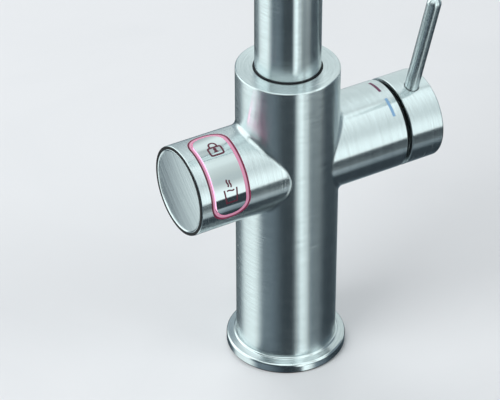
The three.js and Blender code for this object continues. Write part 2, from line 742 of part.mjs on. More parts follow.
/** The cap that turns and tilts with the stem: skirt, end, boss, and holes for rod and set screw. */
function leverCap() {
  const inner = barrelRadius - capWall;
  const shell = turned([
    [0, capOuterEnd], [barrelRadius - capEdge, capOuterEnd], [barrelRadius, capOuterEnd - capEdge],
    [barrelRadius, capRim], [inner, capRim], [inner, capFloor], [capBossDiameter / 2, capFloor],
    [capBossDiameter / 2, capBossFoot], [0, capBossFoot],
  ], largeSides);
  return cut(
    shell,
    disc(stemHole, capBossFoot - 1, capFloor, smallSides),
    barAlongX(leverRodDiameter + 2 * fitGap, 0, barrelDiameter, smallSides).translate(0, 0, leverHeight),
    barAlongX(setScrewDiameter + 2 * fitGap, -barrelDiameter, 0, tinySides).translate(0, 0, leverHeight),
  );
}

piece(mixer, 'lever_cap', 'satin_steel', leverCap());

/** The slim rod, with a domed tip. */
function leverRod() {
  const radius = leverRodDiameter / 2;
  const dome = [0, 22.5, 45, 67.5, 90].map((angle) => [
    radius * Math.cos(radians(angle)), rodTip - radius + radius * Math.sin(radians(angle)),
  ]);
  dome[dome.length - 1][0] = 0;
  return turned([[0, besideStem], [radius, besideStem], ...dome], smallSides)
    .rotateY(Math.PI / 2).translate(0, 0, leverHeight);
}

piece(mixer, 'lever_rod', 'satin_steel', leverRod());
piece(mixer, 'lever_set_screw', 'zinc_steel',
  barAlongX(setScrewDiameter, -besideStem - setScrewLength, -besideStem, tinySides)
    .translate(0, 0, leverHeight));
const plugFace = barrelRadius - seatGap;
piece(mixer, 'lever_screw_plug', 'black_plastic',
  barAlongX(setScrewDiameter, -plugFace, -plugFace + plugThickness, tinySides).translate(0, 0, leverHeight));

// ---- Rocker switch: its group's z is the distance from the column's axis, x points out of the panel ----

const ringLength = windowLength - 2 * lightRingGap;
const ringWidth = windowWidth - 2 * lightRingGap;
const ringCorner = windowCorner - lightRingGap;
const panelRoomLength = ringLength - 2 * lightRingWidth;
const panelRoomWidth = ringWidth - 2 * lightRingWidth;
const panelRoomCorner = ringCorner - lightRingWidth;
const panelEndAngle = panelRoomLength / 2 / barrelRadius;
const panelEndTravel = barrelRadius * Math.sin(panelEndAngle) ** 2 * radians(rockerTravel);
const carrierDiameter = barrelBore - 2 * fitGap;
const carrierRadius = carrierDiameter / 2;
const panelInside = barrelRadius - panelThickness;

piece(rockerUnit, 'light_ring', 'light_plastic', cut(
  bentPad(ringWidth, ringLength, ringCorner, carrierRadius + fitGap, barrelRadius - lightRingSunk),
  bentPad(panelRoomWidth, panelRoomLength, panelRoomCorner, carrierRadius - 1, barrelRadius + 1),
));

/** How far the panel's inside lies out from the barrel's axis, at a distance to the side. */
const panelInsideAt = (y) => Math.sqrt(panelInside ** 2 - y ** 2);

/** The curved panel with its pivot lug. */
function rockerPanel() {
  const plateShape = bentPad(
    panelRoomWidth - 2 * panelGap, panelRoomLength - 2 * (panelGap + panelEndTravel),
    panelRoomCorner - panelGap, panelInside, barrelRadius,
  );
  const lugFoot = rockerPinRadius - rockerLugThickness / 2;
  const lug = block(
    [lugFoot, -rockerLugThickness / 2, windowMiddle - rockerLugWidth / 2],
    [panelInside + panelThickness / 2, rockerLugThickness / 2, windowMiddle + rockerLugWidth / 2],
  );
  return cut(joined(plateShape, lug), rockerBore(rockerPinDiameter + 2 * fitGap, 0, switchReach));
}

/** A round bar along the rocker's pin. */
const rockerBore = (diameter, from, to) =>
  disc(diameter, from, to, tinySides).translate(rockerPinRadius, 0, 0);

piece(rockerUnit, 'rocker_panel', 'polished_steel', rockerPanel());

const capSpigotFoot = switchReach + fitGap - endCapSpigot;
const carrierEnd = capSpigotFoot - fitGap;
const carrierFoot = windowNear - carrierWall;
const pocketNear = carrierFoot + carrierWall + rockerLugThickness;
const pocketFar = carrierEnd - carrierWall;
const boardFoot = pocketFloor + fitGap;
const boardTop = boardFoot + boardThickness;
const boardNear = pocketNear + fitGap;
const boardFar = pocketFar - fitGap;

/** The insert that fills the barrel behind the panel and holds pin, board, switches and spring. */
piece(rockerUnit, 'switch_carrier', 'black_plastic', cut(
  disc(carrierDiameter, carrierFoot, carrierEnd, mediumSides),
  block([pocketFloor, -pocketWidth / 2, pocketNear], [barrelRadius, pocketWidth / 2, pocketFar]),
  rockerBore(rockerPinDiameter + 2 * fitGap, carrierFoot + carrierWall, switchReach),
  disc(leadDiameter + 2 * fitGap, carrierFoot - 1, pocketNear + 1, tinySides)
    .translate(leadStartRadius(), 0, 0),
));

/** How far the control lead leaves the board from the barrel's axis. */
function leadStartRadius() {
  return pocketFloor + fitGap + leadDiameter / 2;
}

piece(rockerUnit, 'rocker_pin', 'zinc_steel',
  rockerBore(rockerPinDiameter, carrierFoot + carrierWall + fitGap, carrierEnd - fitGap));
piece(rockerUnit, 'circuit_board', 'board_green',
  block([boardFoot, -pocketWidth / 2 + fitGap, boardNear], [boardTop, pocketWidth / 2 - fitGap, boardFar]));

for (const [name, side] of [['lock_switch', 1], ['boil_switch', -1]]) {
  const middle = (side * switchSpacing) / 2;
  const half = switchBodySize / 2;
  const bodyFoot = boardTop + seatGap;
  const bodyTop = bodyFoot + switchBodyHeight;
  const panelTravel = (switchSpacing / 2) * radians(rockerTravel);
  const plungerTop = panelInsideAt((switchSpacing + plungerDiameter) / 2) - panelTravel - seatGap;
  piece(rockerUnit, name, 'grey_plastic', joined(
    block([bodyFoot, middle - half, windowMiddle - half], [bodyTop, middle + half, windowMiddle + half]),
    barAlongX(plungerDiameter, bodyTop - 1, plungerTop, tinySides).translate(0, middle, windowMiddle),
  ));
}

/** The flat spring that centres the panel: a shallow V beside the pivot lug. */
function rockerSpring() {
  const foot = boardTop + seatGap;
  const tip = panelInsideAt(springReach) - springReach * radians(rockerTravel) - swingGap;
  const flat = rockerLugThickness / 2;
  const near = windowMiddle + rockerLugWidth / 2 + 2 * fitGap;
  return plate([
    [foot, -flat], [foot, flat], [tip - springThickness, springReach], [tip, springReach],
    [foot + springThickness, flat], [foot + springThickness, -flat], [tip, -springReach],
    [tip - springThickness, -springReach],
  ], near, near + springWidth);
}

piece(rockerUnit, 'rocker_spring', 'zinc_steel', rockerSpring());

const endCapRadius = barrelRadius - endCapInset;
const endCapSeat = switchReach + fitGap;
piece(rockerUnit, 'switch_end_cap', 'satin_steel', turned([
  [0, capSpigotFoot], [carrierRadius, capSpigotFoot],
  [carrierRadius, endCapSeat], [endCapRadius, endCapSeat],
  [endCapRadius, endCapSeat + endCapFlange - endCapBevel],
  [endCapRadius - endCapBevel, endCapSeat + endCapFlange],
  [0, endCapSeat + endCapFlange],
], largeSides));
piece(rockerUnit, 'switch_end_ring', 'black_rubber', tube(
  2 * (endCapRadius + fitGap), barrelDiameter - 2 * endRingSunk,
  switchReach + seatGap, switchReach + seatGap + endRingHeight, largeSides,
));

// ---- Control lead, from the board down to its gland ----

const inletCollarDiameter = riserSpacing - 2 * fitGap;
const glandOffset = (inletCollarDiameter + glandHeadDiameter) / 2 + 2 * fitGap;

/** A point of the rocker's group on the board's middle line, seen from the column. */
const fromBoard = (distance) =>
  new THREE.Vector3(leadStartRadius(), 0, distance).applyMatrix4(rockerUnit.matrix);

const leadDrop = (columnBore + waterwayDiameter) / 4 + fitGap; // midway between waterway and column wall
const leadLine = new THREE.CatmullRomCurve3([
  fromBoard(boardNear - fitGap),
  fromBoard(carrierFoot),
  fromBoard(carrierFoot - leadDiameter),
  new THREE.Vector3(-leadDrop, 0, barrelHeight - barrelRadius / 2),
  new THREE.Vector3(-leadDrop, 0, barrelHeight / 2),
  new THREE.Vector3(-(leadDrop + glandOffset) / 2, 0, barrelHeight / 5),
  new THREE.Vector3(-glandOffset, 0, shankFlangeThickness / 2),
  new THREE.Vector3(-glandOffset, 0, -shankLength / 2),
  new THREE.Vector3(-glandOffset, 0, inletBlockFoot - glandHeadHeight),
]);
piece(tap, 'control_lead', 'black_rubber', pipe(leadLine, leadDiameter, 0, leadSides, leadSteps));

// ---- Fixing under the worktop ----

const shankTop = gasketThickness + shankFlangeLift + shankFlangeThickness;
piece(tap, 'mounting_shank', 'brass', turned([
  [shankBore / 2, -shankLength], [shankDiameter / 2, -shankLength],
  [shankDiameter / 2, shankTop - shankFlangeThickness],
  [columnBore / 2 - fitGap, shankTop - shankFlangeThickness],
  [columnBore / 2 - fitGap, shankTop], [shankBore / 2, shankTop],
], mediumSides));

const clampBore = shankDiameter + 2 * swingGap;
const plateTop = -worktopThickness - washerThickness;
const nutTop = plateTop - clampPlateThickness - clampNutGap;
const nutBottom = nutTop - clampNutThickness;
const jackScrewSpacing = (shankDiameter + clampNutDiameter) / 2;
piece(tap, 'rubber_washer', 'black_rubber',
  tube(clampBore, clampDiameter, plateTop, -worktopThickness, mediumSides));
piece(tap, 'clamp_plate', 'zinc_steel',
  tube(clampBore, clampDiameter, plateTop - clampPlateThickness, plateTop, mediumSides));
piece(tap, 'clamp_nut', 'brass', cut(
  tube(shankDiameter + 2 * fitGap, clampNutDiameter, nutBottom, nutTop, mediumSides),
  ...[-1, 1].map((side) => disc(jackScrewDiameter + 2 * fitGap, nutBottom - 1, nutTop + 1, tinySides)
    .translate((side * jackScrewSpacing) / 2, 0, 0)),
));
for (const [name, side] of [['jack_screw_left', -1], ['jack_screw_right', 1]]) {
  const headTop = nutBottom - clampNutGap;
  piece(tap, name, 'zinc_steel', turned([
    [0, headTop - jackScrewHeadHeight], [jackScrewHead / 2, headTop - jackScrewHeadHeight],
    [jackScrewHead / 2, headTop], [jackScrewDiameter / 2, headTop],
    [jackScrewDiameter / 2, plateTop - clampPlateThickness - seatGap],
    [0, plateTop - clampPlateThickness - seatGap],
  ], tinySides).translate((side * jackScrewSpacing) / 2, 0, 0));
}

const inletBlockTop = inletBlockFoot + inletBlockThickness;
const inletPlaces = { cold_inlet: -riserSpacing, boiling_inlet: 0, hot_inlet: riserSpacing };
piece(tap, 'inlet_block', 'brass', cut(
  disc(shankBore - 2 * fitGap, inletBlockFoot, inletBlockTop, mediumSides),
  ...Object.values(inletPlaces).map((y) =>
    disc(riserHole, inletBlockFoot - 1, inletBlockTop + 1, smallSides).translate(0, y, 0)),
  disc(glandDiameter + 2 * fitGap, inletBlockFoot - 1, inletBlockTop + 1, smallSides)
    .translate(-glandOffset, 0, 0),
));
const collarFoot = inletBlockFoot - fitGap - inletCollarHeight;
for (const [name, y] of Object.entries(inletPlaces)) {
  piece(tap, name, 'brass', turned([
    [inletBore / 2, collarFoot - inletLength + inletCollarHeight],
    [riserDiameter / 2, collarFoot - inletLength + inletCollarHeight],
    [riserDiameter / 2, collarFoot], [inletCollarDiameter / 2, collarFoot],
    [inletCollarDiameter / 2, collarFoot + inletCollarHeight],
    [riserDiameter / 2, collarFoot + inletCollarHeight],
    [riserDiameter / 2, inletBlockFoot + inletEntry], [inletBore / 2, inletBlockFoot + inletEntry],
  ], smallSides).translate(0, y, 0));
}
const glandFoot = inletBlockFoot - fitGap - glandHeadHeight;
piece(tap, 'cable_gland', 'black_plastic', turned([
  [leadDiameter / 2 + fitGap, glandFoot], [glandHeadDiameter / 2, glandFoot],
  [glandHeadDiameter / 2, glandFoot + glandHeadHeight], [glandDiameter / 2, glandFoot + glandHeadHeight],
  [glandDiameter / 2, inletBlockTop], [leadDiameter / 2 + fitGap, inletBlockTop],
], smallSides).translate(-glandOffset, 0, 0));

export default tap;
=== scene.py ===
from math import cos, pi, radians, sin

import bmesh
import bpy
import numpy as np
from mathutils import Matrix, Vector


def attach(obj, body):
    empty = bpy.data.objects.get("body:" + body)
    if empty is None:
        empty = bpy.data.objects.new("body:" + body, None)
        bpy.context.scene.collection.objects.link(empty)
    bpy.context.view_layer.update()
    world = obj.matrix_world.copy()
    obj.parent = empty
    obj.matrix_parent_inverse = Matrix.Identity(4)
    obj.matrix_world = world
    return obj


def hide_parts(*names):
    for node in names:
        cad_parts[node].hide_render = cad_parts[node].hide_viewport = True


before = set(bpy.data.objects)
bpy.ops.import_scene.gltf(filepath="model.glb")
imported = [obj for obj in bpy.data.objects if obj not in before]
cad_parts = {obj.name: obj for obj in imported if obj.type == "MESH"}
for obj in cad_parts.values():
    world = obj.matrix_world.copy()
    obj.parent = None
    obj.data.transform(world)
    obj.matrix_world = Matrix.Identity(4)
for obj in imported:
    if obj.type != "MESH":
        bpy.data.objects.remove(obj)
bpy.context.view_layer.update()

# ---- Sizes in millimetres, as the solid model has them ----

MM = 0.001
AXIS_HEIGHT = 111.3  # of both barrels' shared axis
SLIVER = 0.01  # what a cut leaves that is smaller than this is taken away

COLUMN_RADIUS = 25.0
COLUMN_FOOT = 0.8
COLUMN_TOP = 162.0
COLUMN_EDGE = 0.7
COLUMN_BORE = 22.0
SEAT_RADIUS = 16.57  # of the spout's seat in the column's top
SEAT_FLOOR = 149.7
SEAT_CHAMFER = 0.12
NECK_RADIUS = 12.6  # of the way down from the seat into the column
NECK_FOOT = 140.0

BARREL_RADIUS = 22.25
BARREL_BORE = 20.2
BARREL_EDGE = 0.3
MIXER_REACH = 55.0
SWITCH_REACH = 59.3
FILLET = 3.0
FILLET_DEPTH = 0.8  # of the rounded corner's ring into the walls beside it

SPOUT_RADIUS = 15.8
SPOUT_BORE = 14.5
SPOUT_FOOT = 154.0
SPRINGING = 269.45
ARCH_RADIUS = 107.5
TUBE_END = 245.9
OUTLET = (0.0, -215.0, 240.0)

SWITCH_ANGLE = 44.5  # of the panel's middle, from straight ahead up towards vertical
WINDOW_MIDDLE = -43.7
WINDOW_WIDTH = 21.0
WINDOW_LENGTH = 51.0
WINDOW_CORNER = 9.6
FRAME_WIDTH = 20.3
FRAME_LENGTH = 50.3
FRAME_CORNER = 9.25
FRAME_BAND = 1.6
FRAME_TOP = 22.15
DISC_RADIUS = 19.8
DISC_EDGE = 59.4
DISC_RISE = 0.65  # of its dome's middle over its edge
DISC_SPREAD = (0.0, 0.636, -0.772)  # across its straight brush lines

MARK_PLACE = 50.3
LEVER_ANGLE = 74.0
LEVER_PLACE = 66.85
CAP_RIM = 57.7
CAP_END = 76.0
CAP_EDGE = 0.8
CAP_BORE = 20.4
CAP_FLOOR = 73.0

JACK_PLACE = 20.75  # of the jack screws, to both sides of the shank's axis
GLAND_PLACE = -9.5


# ---- Frames of the turned pieces ----

def leaning(angle):
    """The direction that leans up from straight ahead by an angle."""
    return Vector((0, -cos(radians(angle)), sin(radians(angle))))


def place(origin, axis, face):
    """A frame at origin, with its own Z along axis and its X along face."""
    axis, face = Vector(axis), Vector(face)
    side = axis.cross(face)
    turn = Matrix((face, side, axis)).transposed().to_4x4()
    return Matrix.Translation(origin) @ turn


UPRIGHT = Matrix.Identity(4)
BARREL_LINE = ((0, 0, AXIS_HEIGHT), (1, 0, 0))
MIXER = place(*BARREL_LINE, leaning(LEVER_ANGLE))
SWITCH = place((0, 0, AXIS_HEIGHT), (-1, 0, 0), leaning(SWITCH_ANGLE))
AT_OUTLET = Matrix.Translation(OUTLET)
ALONG_ROD = place((LEVER_PLACE, 0, AXIS_HEIGHT), leaning(LEVER_ANGLE), (1, 0, 0))


# ---- Camera ----

CAMERA_AT = (-0.50069, -0.82327, 0.76526)
CAMERA_AZIMUTH = radians(-30.24)
CAMERA_HEIGHT_ANGLE = radians(35.23)
CAMERA_ROLL = radians(-0.18)
SENSOR_WIDTH = 36.0
LENS = 174.0


def into_scene(name, data):
    thing = bpy.data.objects.new(name, data)
    bpy.context.collection.objects.link(thing)
    return thing


def add_camera():
    data = bpy.data.cameras.new("camera")
    data.sensor_fit = "HORIZONTAL"
    data.sensor_width = SENSOR_WIDTH
    data.lens = LENS
    data.clip_start = 0.05
    data.clip_end = 50.0
    camera = into_scene("camera", data)
    camera.matrix_world = (Matrix.Translation(CAMERA_AT) @ Matrix.Rotation(CAMERA_AZIMUTH, 4, "Z")
                           @ Matrix.Rotation(pi / 2 - CAMERA_HEIGHT_ANGLE, 4, "X")
                           @ Matrix.Rotation(CAMERA_ROLL, 4, "Z"))
    bpy.context.scene.camera = camera


add_camera()


# ---- Node helpers ----

def give(tree, socket, value):
    """Links a socket to another one, or sets its plain value."""
    if isinstance(value, bpy.types.NodeSocket):
        tree.links.new(value, socket)
    else:
        socket.default_value = value


def node(tree, kind, inputs=None, **settings):
    """A shader node with its settings, and with each named or numbered input given."""
    made = tree.nodes.new("ShaderNode" + kind)
    for key, value in settings.items():
        setattr(made, key, value)
    for key, value in (inputs or {}).items():
        give(tree, made.inputs[key], value)
    return made


def scaled(tree, value, times, plus=0.0):
    made = node(tree, "Math", {0: value, 1: times, 2: plus}, operation="MULTIPLY_ADD")
    return made.outputs[0]


def enlarged(tree, vector, times):
    made = node(tree, "VectorMath", {0: vector, "Scale": times}, operation="SCALE")
    return made.outputs[0]


def noise(tree, at, scale, detail, roughness=0.5, distortion=0.0):
    made = node(tree, "TexNoise", {
        "Vector": at, "Scale": scale, "Detail": detail, "Roughness": roughness,
        "Distortion": distortion,
    })
    return made.outputs[0]


def spread_out(tree, value, low, high, new_low=0.0, new_high=1.0, course="LINEAR"):
    made = node(tree, "MapRange", {
        "Value": value, "From Min": low, "From Max": high, "To Min": new_low, "To Max": new_high,
    }, interpolation_type=course)
    return made.outputs[0]


def blend_colours(tree, share, first, second):
    """A mix of two colours, whose sockets come after those for numbers and vectors."""
    return node(tree, "Mix", {0: share, 6: first, 7: second}, data_type="RGBA").outputs[2]


def dimmed(colour, share):
    return [c * share for c in colour[:3]] + [1]


def new_group(name, inputs, outputs):
    """A node group: inputs give each named socket its start value, and the outputs are masks."""
    tree = bpy.data.node_groups.new(name, "ShaderNodeTree")
    for label, start in inputs.items():
        kind = "NodeSocketVector" if isinstance(start, tuple) else "NodeSocketFloat"
        tree.interface.new_socket(label, in_out="INPUT", socket_type=kind).default_value = start
    for label in outputs:
        tree.interface.new_socket(label, in_out="OUTPUT", socket_type="NodeSocketFloat")
    entry = tree.nodes.new("NodeGroupInput")
    leaving = tree.nodes.new("NodeGroupOutput")
    return tree, entry.outputs, leaving.inputs


def effect(tree, group, here, inputs=None):
    """The masks of a shared effect."""
    return node(tree, "Group", {"Position": here, **(inputs or {})}, node_tree=group).outputs


# ---- Shared effects ----

def make_brushing():
    """Fine and wide lines that run across the brush's feed."""
    tree, given, out = new_group("brushing", {
        "Feed": 0.0, "Position": (0, 0, 0), "Lines per mm": 4.0, "Line Length": 30.0}, ["Lines"])
    times = node(tree, "Math", {0: 1000.0, 1: given["Line Length"]}, operation="DIVIDE").outputs[0]
    around = enlarged(tree, given["Position"], times)

    def lines(feed, aside, detail, roughness):
        shift = node(tree, "CombineXYZ", {0: aside, 2: feed}).outputs[0]
        at = node(tree, "VectorMath", {0: around, 1: shift}, operation="ADD").outputs[0]
        return noise(tree, at, 1.0, detail, roughness)

    feed = scaled(tree, given["Feed"], given["Lines per mm"])
    wide = scaled(tree, lines(scaled(tree, feed, 0.17), 7.3, 1.0, 0.5), 0.15)
    both = scaled(tree, lines(feed, 0.0, 3.0, 0.65), 0.85, wide)
    tree.links.new(spread_out(tree, both, 0.32, 0.68), out["Lines"])
    return tree


def make_handling():
    """Faint finger marks and dust: patches, and small specks."""
    tree, given, out = new_group("handling", {
        "Position": (0, 0, 0), "Patch Scale": 30.0, "Speck Scale": 900.0}, ["Patches", "Specks"])
    patches = noise(tree, given["Position"], given["Patch Scale"], 4.0, distortion=0.8)
    tree.links.new(spread_out(tree, patches, 0.48, 0.72), out["Patches"])
    specks = noise(tree, given["Position"], given["Speck Scale"], 1.0)
    tree.links.new(spread_out(tree, specks, 0.68, 0.78), out["Specks"])
    return tree


def make_casting():
    """Small pits and slow unevenness, for brass, cast and moulded parts."""
    tree, given, out = new_group("casting", {
        "Position": (0, 0, 0), "Grain Scale": 2500.0}, ["Grain", "Unevenness"])
    tree.links.new(noise(tree, given["Position"], given["Grain Scale"], 3.0, 0.7), out["Grain"])
    slow = noise(tree, given["Position"], 60.0, 2.0)
    tree.links.new(spread_out(tree, slow, 0.3, 0.7), out["Unevenness"])
    return tree


BRUSHING = make_brushing()
HANDLING = make_handling()
CASTING = make_casting()


# ---- Materials ----

def blank_material(name, kind):
    """A material that has a shader of the given kind alone."""
    material = bpy.data.materials.new(name)
    material.use_nodes = True
    tree = material.node_tree
    tree.nodes.clear()
    shader = node(tree, kind)
    tree.links.new(shader.outputs[0], node(tree, "OutputMaterial").inputs[0])
    return material, tree, shader


def new_material(name, metallic=0.0):
    """A material, its nodes, its shader, and the place on the object for its effects."""
    material, tree, shader = blank_material(name, "BsdfPrincipled")
    shader.inputs["Metallic"].default_value = metallic
    return material, tree, shader, node(tree, "TexCoord").outputs["Object"]


def attribute(tree, name, output):
    return node(tree, "Attribute", attribute_name=name).outputs[output]


def give_surface(tree, shader, colour, roughness, relief=None, strength=1.0, depth=0.0):
    """A surface's colour, roughness and relief, whose depth is in mm."""
    tree.links.new(colour, shader.inputs["Base Color"])
    tree.links.new(roughness, shader.inputs["Roughness"])
    if relief is not None:
        bump = node(tree, "Bump", {
            "Strength": strength, "Distance": depth * MM, "Height": relief})
        tree.links.new(bump.outputs[0], shader.inputs["Normal"])


def give_light(tree, shader, colour):
    tree.links.new(colour, shader.inputs["Emission Color"])
    shader.inputs["Emission Strength"].default_value = 1.0


def brushed_steel(name, dark, light, roughness, variation, spread, depth, lines=4.0, length=30.0):
    """Satin steel that follows a piece's own brushing, its attributes feed and spread."""
    material, tree, shader, here = new_material(name, 1.0)
    brushing = effect(tree, BRUSHING, here, {
        "Feed": attribute(tree, "feed", "Fac"), "Lines per mm": lines, "Line Length": length,
    })["Lines"]
    handling = effect(tree, HANDLING, here, {"Patch Scale": 28.0})
    rough = scaled(tree, brushing, variation, roughness - variation / 2)
    rough = scaled(tree, handling["Patches"], variation / 4, rough)
    tone = blend_colours(tree, brushing, dark, light)
    give_surface(tree, shader, tone, rough, brushing, 1.0, depth)
    shader.inputs["Anisotropic"].default_value = spread
    across = node(tree, "VectorTransform", {0: attribute(tree, "spread", "Vector")},
                  vector_type="VECTOR", convert_from="OBJECT", convert_to="WORLD")
    tree.links.new(across.outputs[0], shader.inputs["Tangent"])
    return material


def polished_steel(name, colour, roughness):
    material, tree, shader, here = new_material(name, 1.0)
    handling = effect(tree, HANDLING, here, {"Patch Scale": 60.0, "Speck Scale": 1500.0})
    patches = handling["Patches"]
    rough = scaled(tree, patches, 0.03, scaled(tree, handling["Specks"], 0.08, roughness))
    tone = blend_colours(tree, patches, colour, dimmed(colour, 0.97))
    give_surface(tree, shader, tone, rough, patches, 0.4, 0.002)
    return material


def cast_metal(name, dark, light, roughness):
    material, tree, shader, here = new_material(name, 1.0)
    casting = effect(tree, CASTING, here)
    uneven = casting["Unevenness"]
    rough = spread_out(tree, uneven, 0.0, 1.0, roughness - 0.06, roughness + 0.08)
    tone = blend_colours(tree, uneven, dark, light)
    give_surface(tree, shader, tone, rough, casting["Grain"], 0.6, 0.004)
    return material


def moulded(name, dark, light, roughness, depth=0.006, shine=0.5):
    """Moulded plastic, rubber or fired ceramic."""
    material, tree, shader, here = new_material(name)
    casting = effect(tree, CASTING, here)
    handling = effect(tree, HANDLING, here)
    varied = spread_out(tree, casting["Grain"], 0.3, 0.7, roughness - 0.05, roughness + 0.06)
    worn = scaled(tree, handling["Patches"], -0.05, varied)
    tone = blend_colours(tree, casting["Unevenness"], dark, light)
    give_surface(tree, shader, tone, worn, casting["Grain"], 0.5, depth)
    shader.inputs["Specular IOR Level"].default_value = shine
    return material


def lit_plastic(name, body, glow):
    """Translucent plastic lit from behind, a little brighter in some places."""
    material, tree, shader, here = new_material(name)
    casting = effect(tree, CASTING, here, {"Grain Scale": 1200.0})
    give_light(tree, shader, blend_colours(tree, casting["Unevenness"], dimmed(glow, 0.82), glow))
    give_surface(tree, shader, blend_colours(tree, casting["Grain"], dimmed(body, 0.9), body),
                 spread_out(tree, casting["Grain"], 0.3, 0.7, 0.28, 0.4))
    return material


def with_painted_reflection(tree, colour, times):
    """The colour, with a painted reflection: multiplied by times in the rays that metal reflects.
    """
    glossy = node(tree, "LightPath").outputs["Is Glossy Ray"]
    return blend_colours(tree, glossy, colour, enlarged(tree, colour, times))


RING_GLOW_LOW = (0.29, 0.12, 0.19, 1)
RING_GLOW_HIGH = (0.35, 0.145, 0.225, 1)


def edge_lit_ring(name):
    """The lit frame: its glow and colour carry a painted shade, dark where it meets the barrel,
    fading to bright pink towards the panel; its glow is also a painted reflection, eight times as
    bright where metal reflects it.
    """
    material, tree, shader, here = new_material(name)
    casting = effect(tree, CASTING, here, {"Grain Scale": 1200.0})
    # Painted shade along the frame's outer edge, where it meets the barrel: 0 there, 1 further
    # inwards.
    free_of_painted_shade = spread_out(tree, attribute(tree, "feed", "Fac"), 0.3, 0.8, course="SMOOTHSTEP")
    core = blend_colours(tree, casting["Unevenness"], RING_GLOW_LOW, RING_GLOW_HIGH)
    glow = blend_colours(tree, free_of_painted_shade, (0.05, 0.003, 0.013, 1), core)
    # Painted reflection: the glow is eight times as bright in rays that metal reflects.
    give_light(tree, shader, with_painted_reflection(tree, glow, 8.0))
    # The colour, too, is darkened by painted shade at the outer edge.
    body = blend_colours(tree, free_of_painted_shade, (0.04, 0.008, 0.015, 1), (0.34, 0.16, 0.22, 1))
    give_surface(tree, shader, body, spread_out(tree, casting["Grain"], 0.3, 0.7, 0.28, 0.4))
    return material


STEEL_DARK = (0.575, 0.63, 0.64, 1)
STEEL_LIGHT = (0.695, 0.755, 0.765, 1)


def tap_steel(name, roughness, variation, spread, depth, length=9.0):
    return brushed_steel(name, STEEL_DARK, STEEL_LIGHT, roughness, variation, spread, depth,
                         2.2, length)


satin_steel = tap_steel("satin_steel", 0.25, 0.04, 0.93, 0.0005)
base_steel = tap_steel("base_steel", 0.17, 0.03, 0.60, 0.0003)
spout_steel = tap_steel("spout_steel", 0.22, 0.05, 0.93, 0.0005, length=8.0)
disc_steel = brushed_steel("disc_steel", (0.48, 0.53, 0.545, 1), (0.76, 0.825, 0.835, 1),
                           0.19, 0.06, 0.85, 0.0012, 2.8, 80.0)
lip_steel = tap_steel("lip_steel", 0.16, 0.02, 0.3, 0.0003)
mirror_steel = polished_steel("mirror_steel", (0.65, 0.705, 0.71, 1), 0.07)
brass = cast_metal("brass_casting", (0.52, 0.36, 0.15, 1), (0.62, 0.44, 0.20, 1), 0.36)
copper = cast_metal("copper_pipe", (0.55, 0.26, 0.15, 1), (0.66, 0.34, 0.21, 1), 0.34)
zinc = cast_metal("zinc_steel", (0.42, 0.43, 0.45, 1), (0.52, 0.54, 0.55, 1), 0.4)
black_plastic = moulded("black_plastic", (0.008, 0.009, 0.011, 1), (0.014, 0.016, 0.019, 1), 0.42,
                        shine=0.2)
grey_plastic = moulded("grey_plastic", (0.40, 0.42, 0.43, 1), (0.47, 0.49, 0.50, 1), 0.5)
black_rubber = moulded("black_rubber", (0.010, 0.011, 0.012, 1), (0.018, 0.019, 0.020, 1), 0.75,
                       0.01, shine=0.3)
ceramic = moulded("fired_ceramic", (0.80, 0.79, 0.76, 1), (0.86, 0.85, 0.82, 1), 0.28, 0.002)
board_green = moulded("board_green", (0.012, 0.085, 0.045, 1), (0.018, 0.115, 0.06, 1), 0.45)
ring_light = edge_lit_ring("ring_light")
symbol_light = lit_plastic("symbol_light", (0.04, 0.006, 0.015, 1), (0.055, 0.004, 0.013, 1))
warm_mark = moulded("warm_mark", (0.13, 0.025, 0.075, 1), (0.17, 0.035, 0.095, 1), 0.4)
cold_mark = moulded("cold_mark", (0.24, 0.44, 0.68, 1), (0.28, 0.49, 0.73, 1), 0.4)

# ---- Shapes ----

def face_out(bm):
    bmesh.ops.recalc_face_normals(bm, faces=bm.faces)


def turned(corners, sides=128, edge=0.0):
    """A solid of revolution about its own Z, from [radius, height] corners in mm. Where edge is
    given, its sharp edges are rounded by that much."""
    bm = bmesh.new()
    verts = [bm.verts.new((radius, 0, height)) for radius, height in corners]
    pairs = list(zip(verts, verts[1:]))
    if min(radius for radius, _ in corners) > 0:
        pairs.append((verts[-1], verts[0]))
    bmesh.ops.spin(bm, geom=verts + [bm.edges.new(pair) for pair in pairs], cent=(0, 0, 0),
                   axis=(0, 0, 1), angle=2 * pi, steps=sides, use_merge=True)
    bmesh.ops.remove_doubles(bm, verts=bm.verts, dist=1e-4)
    if edge > 0:
        round_off(bm, edge)
    face_out(bm)
    return bm


def round_off(bm, edge, steps=3, sharp=35.0):
    """Rounds every edge that turns by more than sharp degrees."""
    limit = radians(sharp)
    hard = [e for e in bm.edges if len(e.link_faces) == 2 and e.calc_face_angle() > limit]
    bmesh.ops.bevel(bm, geom=hard, offset=edge, offset_type="OFFSET", segments=steps, profile=0.5,
                    affect="EDGES", clamp_overlap=True, material=-1)


def arc(middle_radius, middle_height, size, first, last, steps):
    """Corners on an arc of a turned profile."""
    angles = [radians(first + (last - first) * i / steps) for i in range(steps + 1)]
    return [(middle_radius + size * cos(a), middle_height + size * sin(a)) for a in angles]


def wall(inner, outer, low, high):
    """Corners of a plain ring, or of a disc where inner is 0."""
    return [(inner, low), (outer, low), (outer, high), (inner, high)]


def rounded_plate(width, length, corner, hole_margin=0.0):
    """A flat plate across X and Y with round corners, or a frame of hole_margin's width."""
    bm = bmesh.new()
    bmesh.ops.create_grid(bm, x_segments=1, y_segments=1, size=0.5)
    bmesh.ops.scale(bm, vec=(width, length, 1), verts=bm.verts)
    bmesh.ops.bevel(bm, geom=bm.verts[:], offset=corner, offset_type="OFFSET", segments=12,
                    profile=0.5, affect="VERTICES", clamp_overlap=False, material=-1)
    if hole_margin > 0:
        face = bm.faces[:]
        bmesh.ops.inset_region(bm, faces=face, thickness=hole_margin,
                               use_even_offset=True, use_boundary=True)
        bmesh.ops.delete(bm, geom=face, context="FACES")
    return bm


def verts_of(made):
    return [g for g in made if isinstance(g, bmesh.types.BMVert)]


def edges_of(made):
    return [g for g in made if isinstance(g, bmesh.types.BMEdge)]


